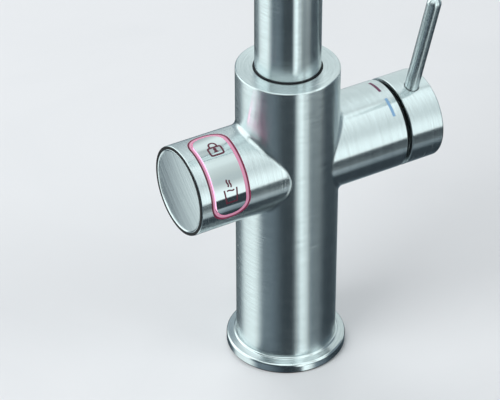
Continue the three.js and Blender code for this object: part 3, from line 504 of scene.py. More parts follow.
def drawn_out(bm, edges):
    """Extrudes edges, and gives the new verts and the edges that lie between them."""
    made = bmesh.ops.extrude_edge_only(bm, edges=edges)["geom"]
    verts = verts_of(made)
    return verts, [e for e in edges_of(made) if all(v in verts for v in e.verts)]


def thicken(bm, low, high):
    """Gives flat faces a thickness from low to high."""
    bmesh.ops.translate(bm, vec=(0, 0, low), verts=bm.verts)
    raised = bmesh.ops.extrude_face_region(bm, geom=bm.faces[:], use_keep_orig=True)
    bmesh.ops.translate(bm, vec=(0, 0, high - low), verts=verts_of(raised["geom"]))
    face_out(bm)


def wrap_on_barrel(bm, middle_x, middle_angle, step=0.6):
    """Bends a flat piece round the barrel: X runs along the barrel, Y round it and Z outwards."""
    low = min(v.co.y for v in bm.verts)
    high = max(v.co.y for v in bm.verts)
    count = int((high - low) / step)
    for i in range(1, count):
        at = (0, low + (high - low) * i / count, 0)
        bmesh.ops.bisect_plane(bm, geom=bm.verts[:] + bm.edges[:] + bm.faces[:], dist=1e-5,
                               plane_co=at, plane_no=(0, 1, 0))
    for v in bm.verts:
        angle = radians(middle_angle) + v.co.y / BARREL_RADIUS
        radius = v.co.z
        v.co = (middle_x + v.co.x, -radius * cos(angle), AXIS_HEIGHT + radius * sin(angle))
    face_out(bm)


# ---- Finished pieces ----

def mesh_of(bm, name, at=UPRIGHT):
    bmesh.ops.transform(bm, matrix=at, verts=bm.verts)
    mesh = bpy.data.meshes.new(name)
    bm.to_mesh(mesh)
    bm.free()
    return mesh


def read_all(items, key, width=1, kind=float):
    """One property of every item, as a column or as rows."""
    values = np.empty(len(items) * width, kind)
    items.foreach_get(key, values)
    return values.reshape(-1, width) if width > 1 else values


def vertex_of_loops(mesh):
    return read_all(mesh.loops, "vertex_index", kind=np.int32)


def loop_facts(mesh):
    """Per face corner: its place, and its face's normal and middle."""
    corners = read_all(mesh.vertices, "co", 3)[vertex_of_loops(mesh)]
    counts = read_all(mesh.polygons, "loop_total", kind=np.int32)
    owner = np.repeat(np.arange(len(mesh.polygons)), counts)
    normals = read_all(mesh.polygons, "normal", 3)[owner]
    return corners, normals, read_all(mesh.polygons, "center", 3)[owner]


def unit(rows):
    return rows / np.maximum(np.linalg.norm(rows, axis=1, keepdims=True), 1e-9)


def about_axis(corners, normals, origin, axis):
    """For corners on a turned surface: true normals, the brushing's spread, and its feed."""
    axis = np.array(axis, float)
    rel = corners - np.array(origin, float)
    along = rel @ axis
    out = rel - along[:, None] * axis
    radius = np.linalg.norm(out, axis=1)
    out = unit(out)
    tilt = normals @ axis
    outward = np.sign(np.sum(normals * out, axis=1)) * np.sqrt(np.maximum(1 - tilt ** 2, 0))
    true = unit(tilt[:, None] * axis + outward[:, None] * out)
    spread = unit(outward[:, None] * axis - tilt[:, None] * out)
    return true, spread, along + radius


def keep(mesh, name, values, domain="CORNER"):
    """Keeps numbers, or rows of three, on a mesh as an attribute."""
    kind, key = ("FLOAT_VECTOR", "vector") if values.ndim > 1 else ("FLOAT", "value")
    layer = mesh.attributes.get(name) or mesh.attributes.new(name, kind, domain)
    layer.data.foreach_set(key, values.astype(np.float32).ravel())


def keep_brushing(mesh, spread, feed):
    keep(mesh, "spread", spread)
    keep(mesh, "feed", feed)


def brush_round(mesh, origin, axis):
    """Keeps a brushing that runs round an axis."""
    corners, normals, _ = loop_facts(mesh)
    _, spread, feed = about_axis(corners, normals, origin, axis)
    keep_brushing(mesh, spread, feed)


def finish_piece(mesh, material, body, stands_for, weighted=True):
    """Puts a mesh in mm into the scene as a piece of the tap."""
    mesh.transform(Matrix.Scale(MM, 4))
    piece = into_scene(mesh.name, mesh)
    mesh.materials.append(material)
    mesh.shade_smooth()
    if weighted:
        mesh.set_sharp_from_angle(angle=radians(32))
        soften = piece.modifiers.new("even_normals", "WEIGHTED_NORMAL")
        soften.keep_sharp = True
        soften.weight = 60
    if stands_for:
        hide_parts(stands_for)
    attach(piece, body)
    return piece


def turned_piece(name, corners, material, body, stands_for, at=UPRIGHT,
                 sides=128, edge=0.0):
    """A turned piece whose brushing runs round it."""
    mesh = mesh_of(turned(corners, sides, edge), name, at)
    brush_round(mesh, at.translation, at.to_3x3() @ Vector((0, 0, 1)))
    return finish_piece(mesh, material, body, stands_for)


def solid_shape(bm, at=UPRIGHT):
    return into_scene("shape", mesh_of(bm, "shape", at))


def round_bar(radius, low, high, sides, at):
    return solid_shape(turned(wall(0, radius, low, high), sides), at)


def clear_slivers(mesh):
    """Takes away the slivers that a cut leaves, and closes the cracks between its faces."""
    bm = bmesh.new()
    bm.from_mesh(mesh)
    bmesh.ops.remove_doubles(bm, verts=bm.verts, dist=SLIVER)
    bmesh.ops.dissolve_degenerate(bm, dist=SLIVER, edges=bm.edges)
    bmesh.ops.triangulate(bm, faces=bm.faces)
    bmesh.ops.dissolve_degenerate(bm, dist=SLIVER, edges=bm.edges)
    bmesh.ops.holes_fill(bm, edges=[e for e in bm.edges if e.is_boundary], sides=0)
    bmesh.ops.triangulate(bm, faces=bm.faces)
    face_out(bm)
    bm.to_mesh(mesh)
    bm.free()


def carved(name, base, added=(), removed=()):
    """The mesh of a shape with others joined to it and cut out of it."""
    for operation, shapes in (("UNION", added), ("DIFFERENCE", removed)):
        for shape in shapes:
            step = base.modifiers.new(operation, "BOOLEAN")
            step.operation = operation
            step.object = shape
            step.solver = "EXACT"
    graph = bpy.context.evaluated_depsgraph_get()
    mesh = bpy.data.meshes.new_from_object(base.evaluated_get(graph))
    mesh.name = name
    for shape in [base, *added, *removed]:
        old = shape.data
        bpy.data.objects.remove(shape)
        bpy.data.meshes.remove(old)
    clear_slivers(mesh)
    return mesh


# ---- Column with both barrels ----

def ball_path(turn):
    """Where the middle of the rounding ball rolls between column and barrel."""
    y = (BARREL_RADIUS + FILLET) * np.sin(turn)
    z = (BARREL_RADIUS + FILLET) * np.cos(turn)
    return np.stack([np.sqrt((COLUMN_RADIUS + FILLET) ** 2 - y * y), y, z], axis=-1)


def junction_ring(sense, around=160, steps=8):
    """The rounded corner where a barrel leaves the column, as a closed ring."""
    bm = bmesh.new()
    bmesh.ops.create_grid(bm, x_segments=around, y_segments=steps + 2, size=0.5)
    for v in bm.verts:
        turn = (v.co.x + 0.5) * 2 * pi
        row = round((v.co.y + 0.5) * (steps + 2))
        ball = Vector(ball_path(np.array(turn)))
        to_column = Vector((-ball.x, -ball.y, 0)).normalized()
        to_barrel = Vector((0, -ball.y, -ball.z)).normalized()
        corner = to_column.angle(to_barrel)
        if row <= steps:
            share = row / steps
            way = to_column * sin((1 - share) * corner) + to_barrel * sin(share * corner)
            way, reach = way / sin(corner), FILLET
        elif row == steps + 1:
            way = (to_column + to_barrel).normalized()
            reach = FILLET / cos(corner / 2) + FILLET_DEPTH
        else:
            way, reach = to_column, FILLET
        spot = ball + way * reach
        v.co = (sense * spot.x, spot.y, spot.z + AXIS_HEIGHT)
    bmesh.ops.remove_doubles(bm, verts=bm.verts, dist=1e-4)
    face_out(bm)
    return bm


def barrel_shape(reach, at):
    return solid_shape(turned([
        (0, 0), (BARREL_RADIUS, 0), (BARREL_RADIUS, reach - BARREL_EDGE),
        (BARREL_RADIUS - BARREL_EDGE, reach), (0, reach)], sides=144), at)


def window_shape():
    bm = rounded_plate(WINDOW_WIDTH, WINDOW_LENGTH, WINDOW_CORNER)
    thicken(bm, BARREL_BORE - 4, BARREL_RADIUS + 4)
    wrap_on_barrel(bm, WINDOW_MIDDLE, SWITCH_ANGLE, step=0.8)
    return solid_shape(bm)


def nearest_on(path, spots):
    return np.array([np.argmin(((path - p) ** 2).sum(axis=1)) for p in spots])


def column_facts(mesh):
    """True normals, spread and feed of every face corner of the column."""
    corners, normals, middles = loop_facts(mesh)
    column = about_axis(corners, normals, (0, 0, 0), (0, 0, 1))
    barrel = about_axis(corners, normals, *BARREL_LINE)
    true, feed = normals.copy(), corners[:, 0].copy()
    spread = np.tile([1.0, 0, 0], (len(corners), 1))
    column_radius = np.hypot(middles[:, 0], middles[:, 1])
    barrel_radius = np.hypot(middles[:, 1], middles[:, 2] - AXIS_HEIGHT)

    def near(value, *targets):
        return np.any([np.abs(value - t) < 0.06 for t in targets], axis=0)

    flat_z = np.abs(normals[:, 2])
    flat_x = np.abs(normals[:, 0])
    from_column = np.abs(middles[:, 0])
    at_barrel = near(barrel_radius, BARREL_RADIUS, BARREL_BORE)
    on_column = near(column_radius, COLUMN_RADIUS, COLUMN_BORE, SEAT_RADIUS, NECK_RADIUS)
    on_column &= flat_z < 0.3
    on_column |= (flat_z > 0.3) & (middles[:, 2] > COLUMN_TOP - 1.5)
    on_column |= (flat_z > 0.9) & (column_radius < 22.5) & ~at_barrel
    on_barrel = at_barrel & (flat_x < 0.3)
    on_barrel |= (flat_x > 0.3) & (from_column > MIXER_REACH - 1.0) & (barrel_radius > 19)
    for chosen, facts in ((on_barrel, barrel), (on_column & ~on_barrel, column)):
        true[chosen], spread[chosen], feed[chosen] = (f[chosen] for f in facts)

    # The rounded corners, where the ball's middle is one rounding away from the face. Both sides
    # are looked at as the right one.
    path = ball_path(np.linspace(0, 2 * pi, 1440, endpoint=False))
    steps = unit(np.roll(path, -1, axis=0) - np.roll(path, 1, axis=0))
    maybe = np.flatnonzero((from_column < 27) & (from_column > 10)
                           & (barrel_radius < BARREL_RADIUS + FILLET + 0.2)
                           & (barrel_radius > BARREL_RADIUS - 0.1)
                           & (column_radius > COLUMN_RADIUS - 0.1))
    mirror = np.ones((len(maybe), 3))
    mirror[:, 0] = np.sign(middles[maybe, 0])
    corner = corners[maybe] * mirror - (0, 0, AXIS_HEIGHT)
    middle = middles[maybe] * mirror - (0, 0, AXIS_HEIGHT)
    to_ball = path[nearest_on(path, middle)] - middle
    facing = np.sum(unit(to_ball) * normals[maybe] * mirror, axis=1)
    rounded = (np.abs(np.linalg.norm(to_ball, axis=1) - FILLET) < 0.08) & (facing > 0.93)
    picked, mirror, corner = maybe[rounded], mirror[rounded], corner[rounded]
    nearest = nearest_on(path, corner)
    way = unit(path[nearest] - corner)
    true[picked] = way * mirror
    spread[picked] = unit(np.cross(way, steps[nearest])) * mirror
    feed[picked] = corners[picked, 0] + np.hypot(corner[:, 1], corner[:, 2])
    return true, spread, feed


def add_column():
    core = solid_shape(turned([
        (0, COLUMN_FOOT), (COLUMN_RADIUS, COLUMN_FOOT),
        *arc(COLUMN_RADIUS - COLUMN_EDGE, COLUMN_TOP - COLUMN_EDGE, COLUMN_EDGE, 0, 90, 4),
        (0, COLUMN_TOP)], sides=160))
    barrels = ((MIXER_REACH, MIXER), (SWITCH_REACH, SWITCH))
    added = [*(barrel_shape(reach, at) for reach, at in barrels),
             *(solid_shape(junction_ring(sense)) for sense in (1, -1))]
    seat = solid_shape(turned([
        (0, 0), (COLUMN_BORE, 0), (COLUMN_BORE, NECK_FOOT), (NECK_RADIUS, NECK_FOOT),
        (NECK_RADIUS, SEAT_FLOOR), (SEAT_RADIUS, SEAT_FLOOR),
        (SEAT_RADIUS, COLUMN_TOP - SEAT_CHAMFER),
        (SEAT_RADIUS + 2 * SEAT_CHAMFER, COLUMN_TOP + SEAT_CHAMFER),
        (0, COLUMN_TOP + SEAT_CHAMFER)]))
    bores = [round_bar(BARREL_BORE, 0, reach + 5, 96, at) for reach, at in barrels]
    mesh = carved("column", core, added, [seat, *bores, window_shape()])
    true, spread, feed = column_facts(mesh)
    keep_brushing(mesh, spread, feed)
    finish_piece(mesh, satin_steel, "tap_body", "column_body", weighted=False)
    mesh.normals_split_custom_set([tuple(n) for n in true])


add_column()

# ---- Base ----

turned_piece("base_ring", [
    (25.05, COLUMN_FOOT), (29.8, COLUMN_FOOT), (30.0, COLUMN_FOOT + 0.2),
    *arc(28.45, 3.95, 1.55, 0, 70, 10), (26.5, 6.3), *arc(25.35, 6.2, 0.9, 20, 100, 10),
    (25.05, 7.05)], base_steel, "tap_body", "base_flange", sides=160)
turned_piece("base_seal", wall(16.8, 29.4, 0.0, COLUMN_FOOT), black_rubber, "tap_body",
             "base_gasket", edge=0.1)

# ---- Spout ----

def spout_way(bm, radius):
    """A round wall that follows the spout: up, over the arch and down."""
    start = bmesh.ops.create_circle(bm, cap_ends=False, segments=96, radius=radius)["verts"]
    bmesh.ops.translate(bm, vec=(0, 0, SPOUT_FOOT), verts=start)
    first = edges = list(dict.fromkeys(e for v in start for e in v.link_edges))

    def climb(edges, distance, steps):
        for _ in range(steps):
            verts, edges = drawn_out(bm, edges)
            bmesh.ops.translate(bm, vec=(0, 0, distance / steps), verts=verts)
        return edges

    edges = climb(edges, SPRINGING - SPOUT_FOOT, 6)
    verts = list(dict.fromkeys(v for e in edges for v in e.verts))
    over = bmesh.ops.spin(bm, geom=verts + edges, cent=(0, -ARCH_RADIUS, SPRINGING),
                          axis=(1, 0, 0), angle=pi, steps=96, use_merge=False)["geom_last"]
    return first, climb(edges_of(over), TUBE_END - SPRINGING, 2)


def add_spout():
    bm = bmesh.new()
    for outer_end, inner_end in zip(spout_way(bm, SPOUT_RADIUS), spout_way(bm, SPOUT_BORE)):
        bmesh.ops.bridge_loops(bm, edges=outer_end + inner_end)
    face_out(bm)
    mesh = mesh_of(bm, "spout")
    corners, normals, middles = loop_facts(mesh)
    on_arch = middles[:, 2] > SPRINGING
    down = (middles[:, 1] < -ARCH_RADIUS) & ~on_arch
    angle = np.arctan2(corners[:, 2] - SPRINGING, corners[:, 1] + ARCH_RADIUS)
    zero = np.zeros(len(corners))
    spread = np.tile([0.0, 0.0, 1.0], (len(corners), 1))
    spread[on_arch] = np.stack([zero, -np.sin(angle), np.cos(angle)], axis=1)[on_arch]
    spread[down] = (0, 0, -1)
    feed = corners[:, 2].copy()
    feed[on_arch] = SPRINGING + ARCH_RADIUS * angle[on_arch]
    feed[down] = SPRINGING + ARCH_RADIUS * pi + SPRINGING - corners[down, 2]
    keep_brushing(mesh, spread, feed)
    finish_piece(mesh, spout_steel, "spout", "spout_tube", weighted=False)
    mesh.set_sharp_from_angle(angle=radians(40))


add_spout()
turned_piece("spout_ring", [
    (NECK_RADIUS, 150.0), (16.37, 150.0), *arc(16.2, 162.43, 0.17, 0, 90, 3),
    *arc(16.06, 162.46, 0.14, 90, 180, 3), (15.92, 153.7), (NECK_RADIUS, 153.7),
], black_plastic, "tap_body", "spout_glide_ring")
turned_piece("aerator_collar", [
    (10.6, 0), (15.35, 0), (15.8, 0.45), (15.8, 5.4), (15.65, 5.6), (14.2, 5.6), (14.2, 16.1),
    (11.6, 16.1), (11.6, 1.0), (10.6, 1.0),
], satin_steel, "spout", "aerator_housing", AT_OUTLET)
turned_piece("boiling_outlet", wall(2.2, 4.8, 0, 20), mirror_steel, "spout", "boiling_nozzle",
             AT_OUTLET, edge=0.25, sides=64)

# ---- Switch ----

def bent_piece(name, bm, low, high, edge, material, body, stands_for):
    thicken(bm, low, high)
    round_off(bm, edge, steps=2, sharp=60)
    wrap_on_barrel(bm, WINDOW_MIDDLE, SWITCH_ANGLE)
    mesh = mesh_of(bm, name)
    brush_round(mesh, *BARREL_LINE)
    return finish_piece(mesh, material, body, stands_for)


def add_light_frame():
    """The lit frame. Its feed is the distance inwards from its outer edge, which sets the painted
    shade of the ring's glow and colour along that edge.
    """
    plate = rounded_plate(FRAME_WIDTH, FRAME_LENGTH, FRAME_CORNER, FRAME_BAND)
    piece = bent_piece("light_frame", plate, BARREL_BORE, FRAME_TOP, 0.12, ring_light, "tap_body",
                       "light_ring")
    mesh = piece.data
    x, y, z = (read_all(mesh.vertices, "co", 3) / MM).T
    flat_x = np.abs(x - WINDOW_MIDDLE)
    flat_y = np.abs(np.arctan2(z - AXIS_HEIGHT, -y) - radians(SWITCH_ANGLE)) * BARREL_RADIUS
    corner_x = np.maximum(flat_x - (FRAME_WIDTH / 2 - FRAME_CORNER), 0)
    corner_y = np.maximum(flat_y - (FRAME_LENGTH / 2 - FRAME_CORNER), 0)
    inwards = FRAME_CORNER - np.hypot(corner_x, corner_y)
    keep(mesh, "feed", inwards[vertex_of_loops(mesh)])


add_light_frame()
bent_piece("rocker_face", rounded_plate(16.4, 45.9, 7.3), 20.75, 22.25, 0.25,
           mirror_steel, "rocker", "rocker_panel")


def add_switch_disc():
    """The end disc: a little domed, brushed in straight lines, with a fine raised lip round it."""
    shares = [1 - i / 12 for i in range(1, 13)]
    dome = [(DISC_RADIUS * share, DISC_EDGE + DISC_RISE * (1 - share ** 2)) for share in shares]
    mesh = mesh_of(turned([
        (0, 56.2), (19.9, 56.2), (19.9, SWITCH_REACH), (20.7, SWITCH_REACH), (20.7, 59.5),
        *arc(20.4, 59.55, 0.3, 0, 115, 9), (19.85, 59.6), (DISC_RADIUS, DISC_EDGE), *dome],
        sides=160), "switch_disc", SWITCH)
    corners, normals, middles = loop_facts(mesh)
    _, spread, feed = about_axis(corners, normals, *BARREL_LINE)
    face = np.hypot(middles[:, 1], middles[:, 2] - AXIS_HEIGHT) < DISC_RADIUS
    across = unit(np.array([DISC_SPREAD]))[0]
    spread[face] = across
    feed[face] = (corners @ across)[face]
    keep_brushing(mesh, spread, feed)
    finish_piece(mesh, disc_steel, "tap_body", "switch_end_cap")
    mesh.materials.append(lip_steel)
    _, y, z = read_all(mesh.polygons, "center", 3).T
    on_lip = np.hypot(y, z - AXIS_HEIGHT * MM) > DISC_RADIUS * MM
    mesh.polygons.foreach_set("material_index", on_lip.astype(np.int32))


add_switch_disc()
turned_piece("switch_disc_ring", [
    (20.78, 59.5), (22.05, 59.5), (22.05, 59.75), (21.95, 59.9), (20.78, 59.9)], black_rubber,
    "tap_body", "switch_end_ring", SWITCH)

# ---- Symbols and marks ----

def pen_line(bm, points, width, closed=False):
    """A flat line of the given width through points in the plane, joined at its bends."""
    points = [Vector((x, y, 0)) for x, y in points]
    count = len(points)

    def sides(i):
        ways = [(points[(k + 1) % count] - points[k % count]).normalized() for k in (i - 1, i)
                if closed or 0 <= k < count - 1]
        way = sum(ways, Vector((0, 0, 0))).normalized()
        normal = Vector((-way.y, way.x, 0))
        reach = width / 2 / max(normal.dot(Vector((-ways[0].y, ways[0].x, 0))), 0.4)
        return points[i] + normal * reach, points[i] - normal * reach

    edges = first = [bm.edges.new([bm.verts.new(p) for p in sides(0)])]
    for i in range(1, count):
        verts, edges = drawn_out(bm, edges)
        for v, spot in zip(verts, sides(i)):
            v.co = spot
    if closed:
        bmesh.ops.bridge_loops(bm, edges=edges + first)
    face_out(bm)


def up(angle):
    """Distance round the barrel of an angle, in mm from the panel's middle."""
    return radians(angle - SWITCH_ANGLE) * BARREL_RADIUS


def wave(x, first, last, size, steps=14):
    return [(x + size * sin(2 * pi * i / steps), first + (last - first) * i / steps)
            for i in range(steps + 1)]


def add_padlock():
    middle, low, high, half, corner, stroke = -43.05, up(66.6), up(78.6), 3.4, 0.9, 0.95
    bow, keyhole = 1.85, up(73.8)
    bm = bmesh.new()
    body = [spot for right, above, start in ((1, 1, 0), (-1, 1, 90), (-1, -1, 180), (1, -1, 270))
            for spot in arc(middle + right * (half - corner),
                            (low + high) / 2 + above * ((high - low) / 2 - corner),
                            corner, start, start + 90, 3)]
    pen_line(bm, body, stroke, closed=True)
    pen_line(bm, [(middle + bow, high + 0.3), *arc(middle, up(86.3) - bow, bow, 0, 180, 12),
                  (middle - bow, high + 0.3)], stroke)
    for segments, radius, above in ((20, 0.85, 0.55), (3, 1.5, -0.6)):
        bmesh.ops.create_circle(bm, cap_ends=True, segments=segments, radius=radius,
                                matrix=Matrix.Translation((middle, keyhole + above, 0)))
    return bm


def add_glass():
    middle, foot, rim, stroke = -43.4, up(4.0), up(21.3), 0.8
    bm = bmesh.new()
    pen_line(bm, [(middle - 3.35, rim), (middle - 2.75, foot), (middle + 2.75, foot),
                  (middle + 3.35, rim)], 0.82)
    water = [(middle - 2.0 + 4.0 * i / 16, rim - 0.75 + 0.22 * sin(2 * pi * i / 16))
             for i in range(17)]
    pen_line(bm, water, 0.75)
    pen_line(bm, wave(middle - 0.95, up(24.2), up(33.6), 0.27), stroke)
    pen_line(bm, wave(middle + 0.45, up(23.0), up(32.2), 0.27), stroke)
    return bm


def printed(name, bm, material, body, middle_angle):
    """A thin raised sign on the barrel's or the panel's surface."""
    thicken(bm, BARREL_RADIUS - 0.1, BARREL_RADIUS + 0.02)
    wrap_on_barrel(bm, 0.0, middle_angle, step=0.4)
    finish_piece(mesh_of(bm, name), material, body, None)


for name, sign in (("padlock_symbol", add_padlock()), ("steaming_glass_symbol", add_glass())):
    printed(name, sign, symbol_light, "rocker", SWITCH_ANGLE)


def add_mark(name, first, last, material):
    bm = bmesh.new()
    half = radians(last - first) * BARREL_RADIUS / 2
    pen_line(bm, [(MARK_PLACE, -half), (MARK_PLACE, half)], 1.5)
    printed(name, bm, material, "tap_body", (first + last) / 2)


add_mark("warm_side_mark", 80.5, 106.5, warm_mark)
add_mark("cold_side_mark", 42.0, 68.0, cold_mark)

# ---- Lever ----

turned_piece("mixer_gap_ring", wall(12.9, 19.9, 54.7, 57.3), black_plastic, "tap_body",
             "mixer_end_ring", MIXER, edge=0.2)


def add_lever_cap():
    shell = solid_shape(turned([
        (0, CAP_END),
        *reversed(arc(BARREL_RADIUS - CAP_EDGE, CAP_END - CAP_EDGE, CAP_EDGE, 0, 90, 5)),
        (BARREL_RADIUS, CAP_RIM + BARREL_EDGE), (BARREL_RADIUS - BARREL_EDGE, CAP_RIM),
        (CAP_BORE, CAP_RIM), (CAP_BORE, CAP_FLOOR), (8.0, CAP_FLOOR), (8.0, 63.0), (0, 63.0)],
        sides=160), MIXER)
    mesh = carved("lever_shell", shell, (), (
        round_bar(3.8, 4, 30, 48, ALONG_ROD), round_bar(2.3, -30, -4, 32, ALONG_ROD),
        round_bar(4.3, 62, 72.9, 48, MIXER)))
    brush_round(mesh, *BARREL_LINE)
    finish_piece(mesh, satin_steel, "lever", "lever_cap")


add_lever_cap()
turned_piece("lever_bar", [
    (0, 4.6), (3.3, 4.6), (3.5, 4.8), *arc(0, 78.75, 3.5, 0, 80, 8), (0, 82.25)], satin_steel,
    "lever", "lever_rod", ALONG_ROD, sides=64)
turned_piece("screw_plug", wall(0, 1.9, -22.05, -20.55), black_plastic, "lever",
             "lever_screw_plug", ALONG_ROD, edge=0.15, sides=32)

# ---- Outlet and fixing ----

def threads(radius, first, last, pitch=1.5, depth=0.55):
    """Corners of a row of thread turns along a turned profile."""
    return [(radius - sink, first + pitch * (i + share))
            for i in range(int((last - first) / pitch))
            for sink, share in ((depth, 0.05), (depth, 0.25), (0.0, 0.55), (0.0, 0.75))]


def drilled_piece(name, corners, holes, material, body, stands_for, at=UPRIGHT,
                  edge=0.0):
    """A turned piece with round holes, each given by its place, radius and reach. The piece's name
    ends with a number."""
    base = solid_shape(turned(corners, edge=edge), at)
    drills = [round_bar(radius, low, high, 40, at @ Matrix.Translation((x, y, 0)))
              for x, y, radius, low, high in holes]
    finish_piece(carved(name + ".001", base, (), drills), material, body, stands_for)


drilled_piece("jet_insert", wall(5.1, 11.3, 1.3, 8.3), [
    (8.2 * cos(radians(36 * i)), 8.2 * sin(radians(36 * i)), 1.3, 0, 16) for i in range(10)],
    grey_plastic, "spout", "aerator_insert", AT_OUTLET, edge=0.3)

turned_piece("threaded_shank", [
    (14.5, -58), (16.0, -58), *threads(16.5, -57.6, -3), (16.5, -2.4), (16.5, 2.0), (21.7, 2.0),
    (21.7, 8.0), (14.5, 8.0)], brass, "tap_body", "mounting_shank", sides=96)
turned_piece("worktop_washer", wall(16.95, 28, -33, -30), black_rubber, "tap_body",
             "rubber_washer", edge=0.5)
turned_piece("pressure_plate", wall(16.95, 28, -35.5, -33), zinc, "tap_body",
             "clamp_plate", edge=0.3)
drilled_piece("backing_nut", wall(16.8, 25, -47, -39), [
    (side * JACK_PLACE, 0, 2.3, -48, -38) for side in (-1, 1)],
    brass, "tap_body", "clamp_nut", edge=0.6)
for side, name in ((-1, "left"), (1, "right")):
    drilled_piece("jack_bolt_" + name, [
        (0, -53.5), (2.8, -53.5), (3.2, -53.1), (3.2, -50.7), (3.0, -50.5), (2, -50.5),
        *threads(2.0, -50.3, -36.8, 0.7, 0.25), (2, -36.4), (1.4, -35.7), (0, -35.7)],
        [(0, 0, 1.5, -54.5, -51.5)], zinc, "tap_body", "jack_screw_" + name,
        Matrix.Translation((side * JACK_PLACE, 0, 0)))

INLETS = {"cold_inlet": -10, "boiling_inlet": 0, "hot_inlet": 10}
drilled_piece("riser_block", wall(0, 14.2, -58, -48.5), [
    *((0, y, 4.3, -60, -46) for y in INLETS.values()), (GLAND_PLACE, 0, 3.3, -60, -46)],
    brass, "tap_body", "inlet_block", edge=0.3)
for name, y in INLETS.items():
    barbs = [(radius, height + 2.2 * i) for i in range(3)
             for radius, height in ((3.3, -70.3), (4.0, -68.7), (4.0, -68.4))]
    turned_piece(name + "_tail", [
        (2.3, -70.3), *barbs, (3.4, -63.9), (3.4, -61.5), (4.4, -61.5), (4.7, -61.2),
        (4.7, -58.6), (4.4, -58.3), (4.0, -58.3), (4.0, -54.0), (2.3, -54.0)], brass,
        "tap_body", name, Matrix.Translation((0, y, 0)), sides=64)
turned_piece("cable_grommet", [
    (1.8, -62.3), (3.6, -62.3), (4.2, -61.7), (4.2, -60.6), (3.9, -60.4), (3.9, -60.0),
    (4.2, -59.8), (4.2, -58.5), (4.0, -58.3), (3.0, -58.3), (3.0, -48.5), (1.8, -48.5)],
    black_plastic, "tap_body", "cable_gland",
    Matrix.Translation((GLAND_PLACE, 0, 0)), sides=64)

# ---- Carried-over parts ----

FINISHES = {
    "satin_steel": brushed_steel("plain_steel", STEEL_DARK, STEEL_LIGHT, 0.34, 0.08, 0.0, 0.004),
    "polished_steel": mirror_steel, "brass": brass, "copper": copper, "zinc_steel": zinc,
    "black_plastic": black_plastic, "grey_plastic": grey_plastic, "black_rubber": black_rubber,
    "ceramic": ceramic, "light_plastic": ring_light, "board_green": board_green,
}


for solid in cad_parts.values():
    for spot in solid.material_slots:
        finish = spot.material.name.split(".")[0] if spot.material else ""
        if finish in FINISHES:
            spot.material = FINISHES[finish]

# ---- Studio ----

def add_floor():
    material, tree, shader, here = new_material("pale_floor")
    handling = effect(tree, HANDLING, here, {"Patch Scale": 9.0})
    pale = blend_colours(tree, handling["Patches"], (0.72, 0.735, 0.75, 1), (0.70, 0.717, 0.733, 1))
    tree.links.new(pale, shader.inputs["Base Color"])
    shader.inputs["Roughness"].default_value = 0.8
    bm = bmesh.new()
    bmesh.ops.create_grid(bm, x_segments=1, y_segments=1, size=4.0)
    floor = into_scene("floor", mesh_of(bm, "floor"))
    floor.data.materials.append(material)
    floor.visible_glossy = False


add_floor()

LAMPS_FACE = Vector((0, 0, 0.1))


def softbox(name, at, width, height, power):
    data = bpy.data.lights.new(name, "AREA")
    data.shape = "RECTANGLE"
    data.size = width
    data.size_y = height
    data.energy = power
    lamp = into_scene(name, data)
    turn = (Vector(at) - LAMPS_FACE).to_track_quat("Z", "Y").to_matrix().to_4x4()
    lamp.matrix_world = Matrix.Translation(at) @ turn
    lamp.visible_glossy = False


softbox("left_softbox", (-1.3, -0.2, 1.3), 1.2, 1.2, 22.0)
softbox("right_softbox", (0.9, -1.1, 1.4), 0.8, 0.8, 8.0)
softbox("back_softbox", (0.3, 1.3, 1.2), 1.4, 0.8, 12.0)

world = bpy.data.worlds.new("studio")
bpy.context.scene.world = world
world.use_nodes = True
surroundings = world.node_tree.nodes["Background"].inputs
surroundings[0].default_value = (0.80, 0.83, 0.86, 1)
surroundings[1].default_value = 0.45


# The light tent stands round the tap and is seen only in its metal. LOW_ROUND is its part under
# the height at which the room begins, and HIGH_ROUND is the room, as pairs of a direction (degrees
# from the camera, positive to the right) and a brightness. On the right the room has long strips
# instead, parallel to the barrels. STRIPS and, in a band across them, NARROW_STRIPS are pairs of an
# angle (up from straight ahead and over to the back) and a brightness.
TENT_RADIUS = 0.75
TENT_MIDDLE = (0.0, 0.0, 0.11)
ROOM_BEGINS = -14.0
LOW_ROUND = [
    (-180, 0.15), (-165, 0.1), (-150, 0.08), (-138, 0.09), (-130, 0.12), (-124, 0.15),
    (-119, 0.27), (-112, 0.9), (-104, 1.1), (-88, 1.2), (-74, 1.22), (-67, 0.95), (-60, 0.45),
    (-53, 0.2), (-44, 0.24), (-34, 0.22), (-26, 0.17), (-16, 0.1), (-10, 0.05), (18, 0.05),
    (21, 0.1), (25, 1.0), (28, 1.6), (34, 1.55), (40, 1.35), (48, 1.0), (54, 0.55), (60, 0.3),
    (80, 0.17), (92, 0.08), (106, 0.05), (124, 0.05), (138, 0.07), (150, 0.1), (160, 0.2),
    (170, 0.6), (178, 0.7), (180, 0.3),
]
STRIPS = [
    (-60, 1.6), (0, 1.65), (10, 1.6), (20, 1.4), (30, 1.25), (45, 1.3), (60, 1.55), (80, 1.75),
    (87, 1.65), (91.5, 0.95), (94.5, 0.9), (99, 1.5), (112, 1.5), (124, 1.2), (135, 0.95),
    (150, 0.95), (172, 1.0), (190, 0.9), (230, 0.6), (300, 0.6),
]
NARROW_STRIPS = [
    (-60, 1.37), (2, 1.35), (8, 1.2), (15, 0.95), (24, 0.73), (36, 0.74), (50, 0.84), (60, 0.92),
    (68, 1.08), (78, 1.12), (86, 0.98), (91, 0.66), (99, 0.64), (107, 0.78), (116, 0.7), (124, 1.1),
    (150, 1.2), (172, 1.0), (190, 0.9), (300, 0.6),
]
HIGH_ROUND = [
    (-180, 0.6), (-165, 0.5), (-145, 0.45), (-134, 1.1), (-126, 1.8), (-108, 1.8), (-70, 1.5),
    (-60, 0.15), (-50, 0.08), (180, 0.08),
]
DARK = 0.06
ROOF = 1.6
STRIPS_END = 0.3  # in front
STRIPS_END_BEHIND = 0.82
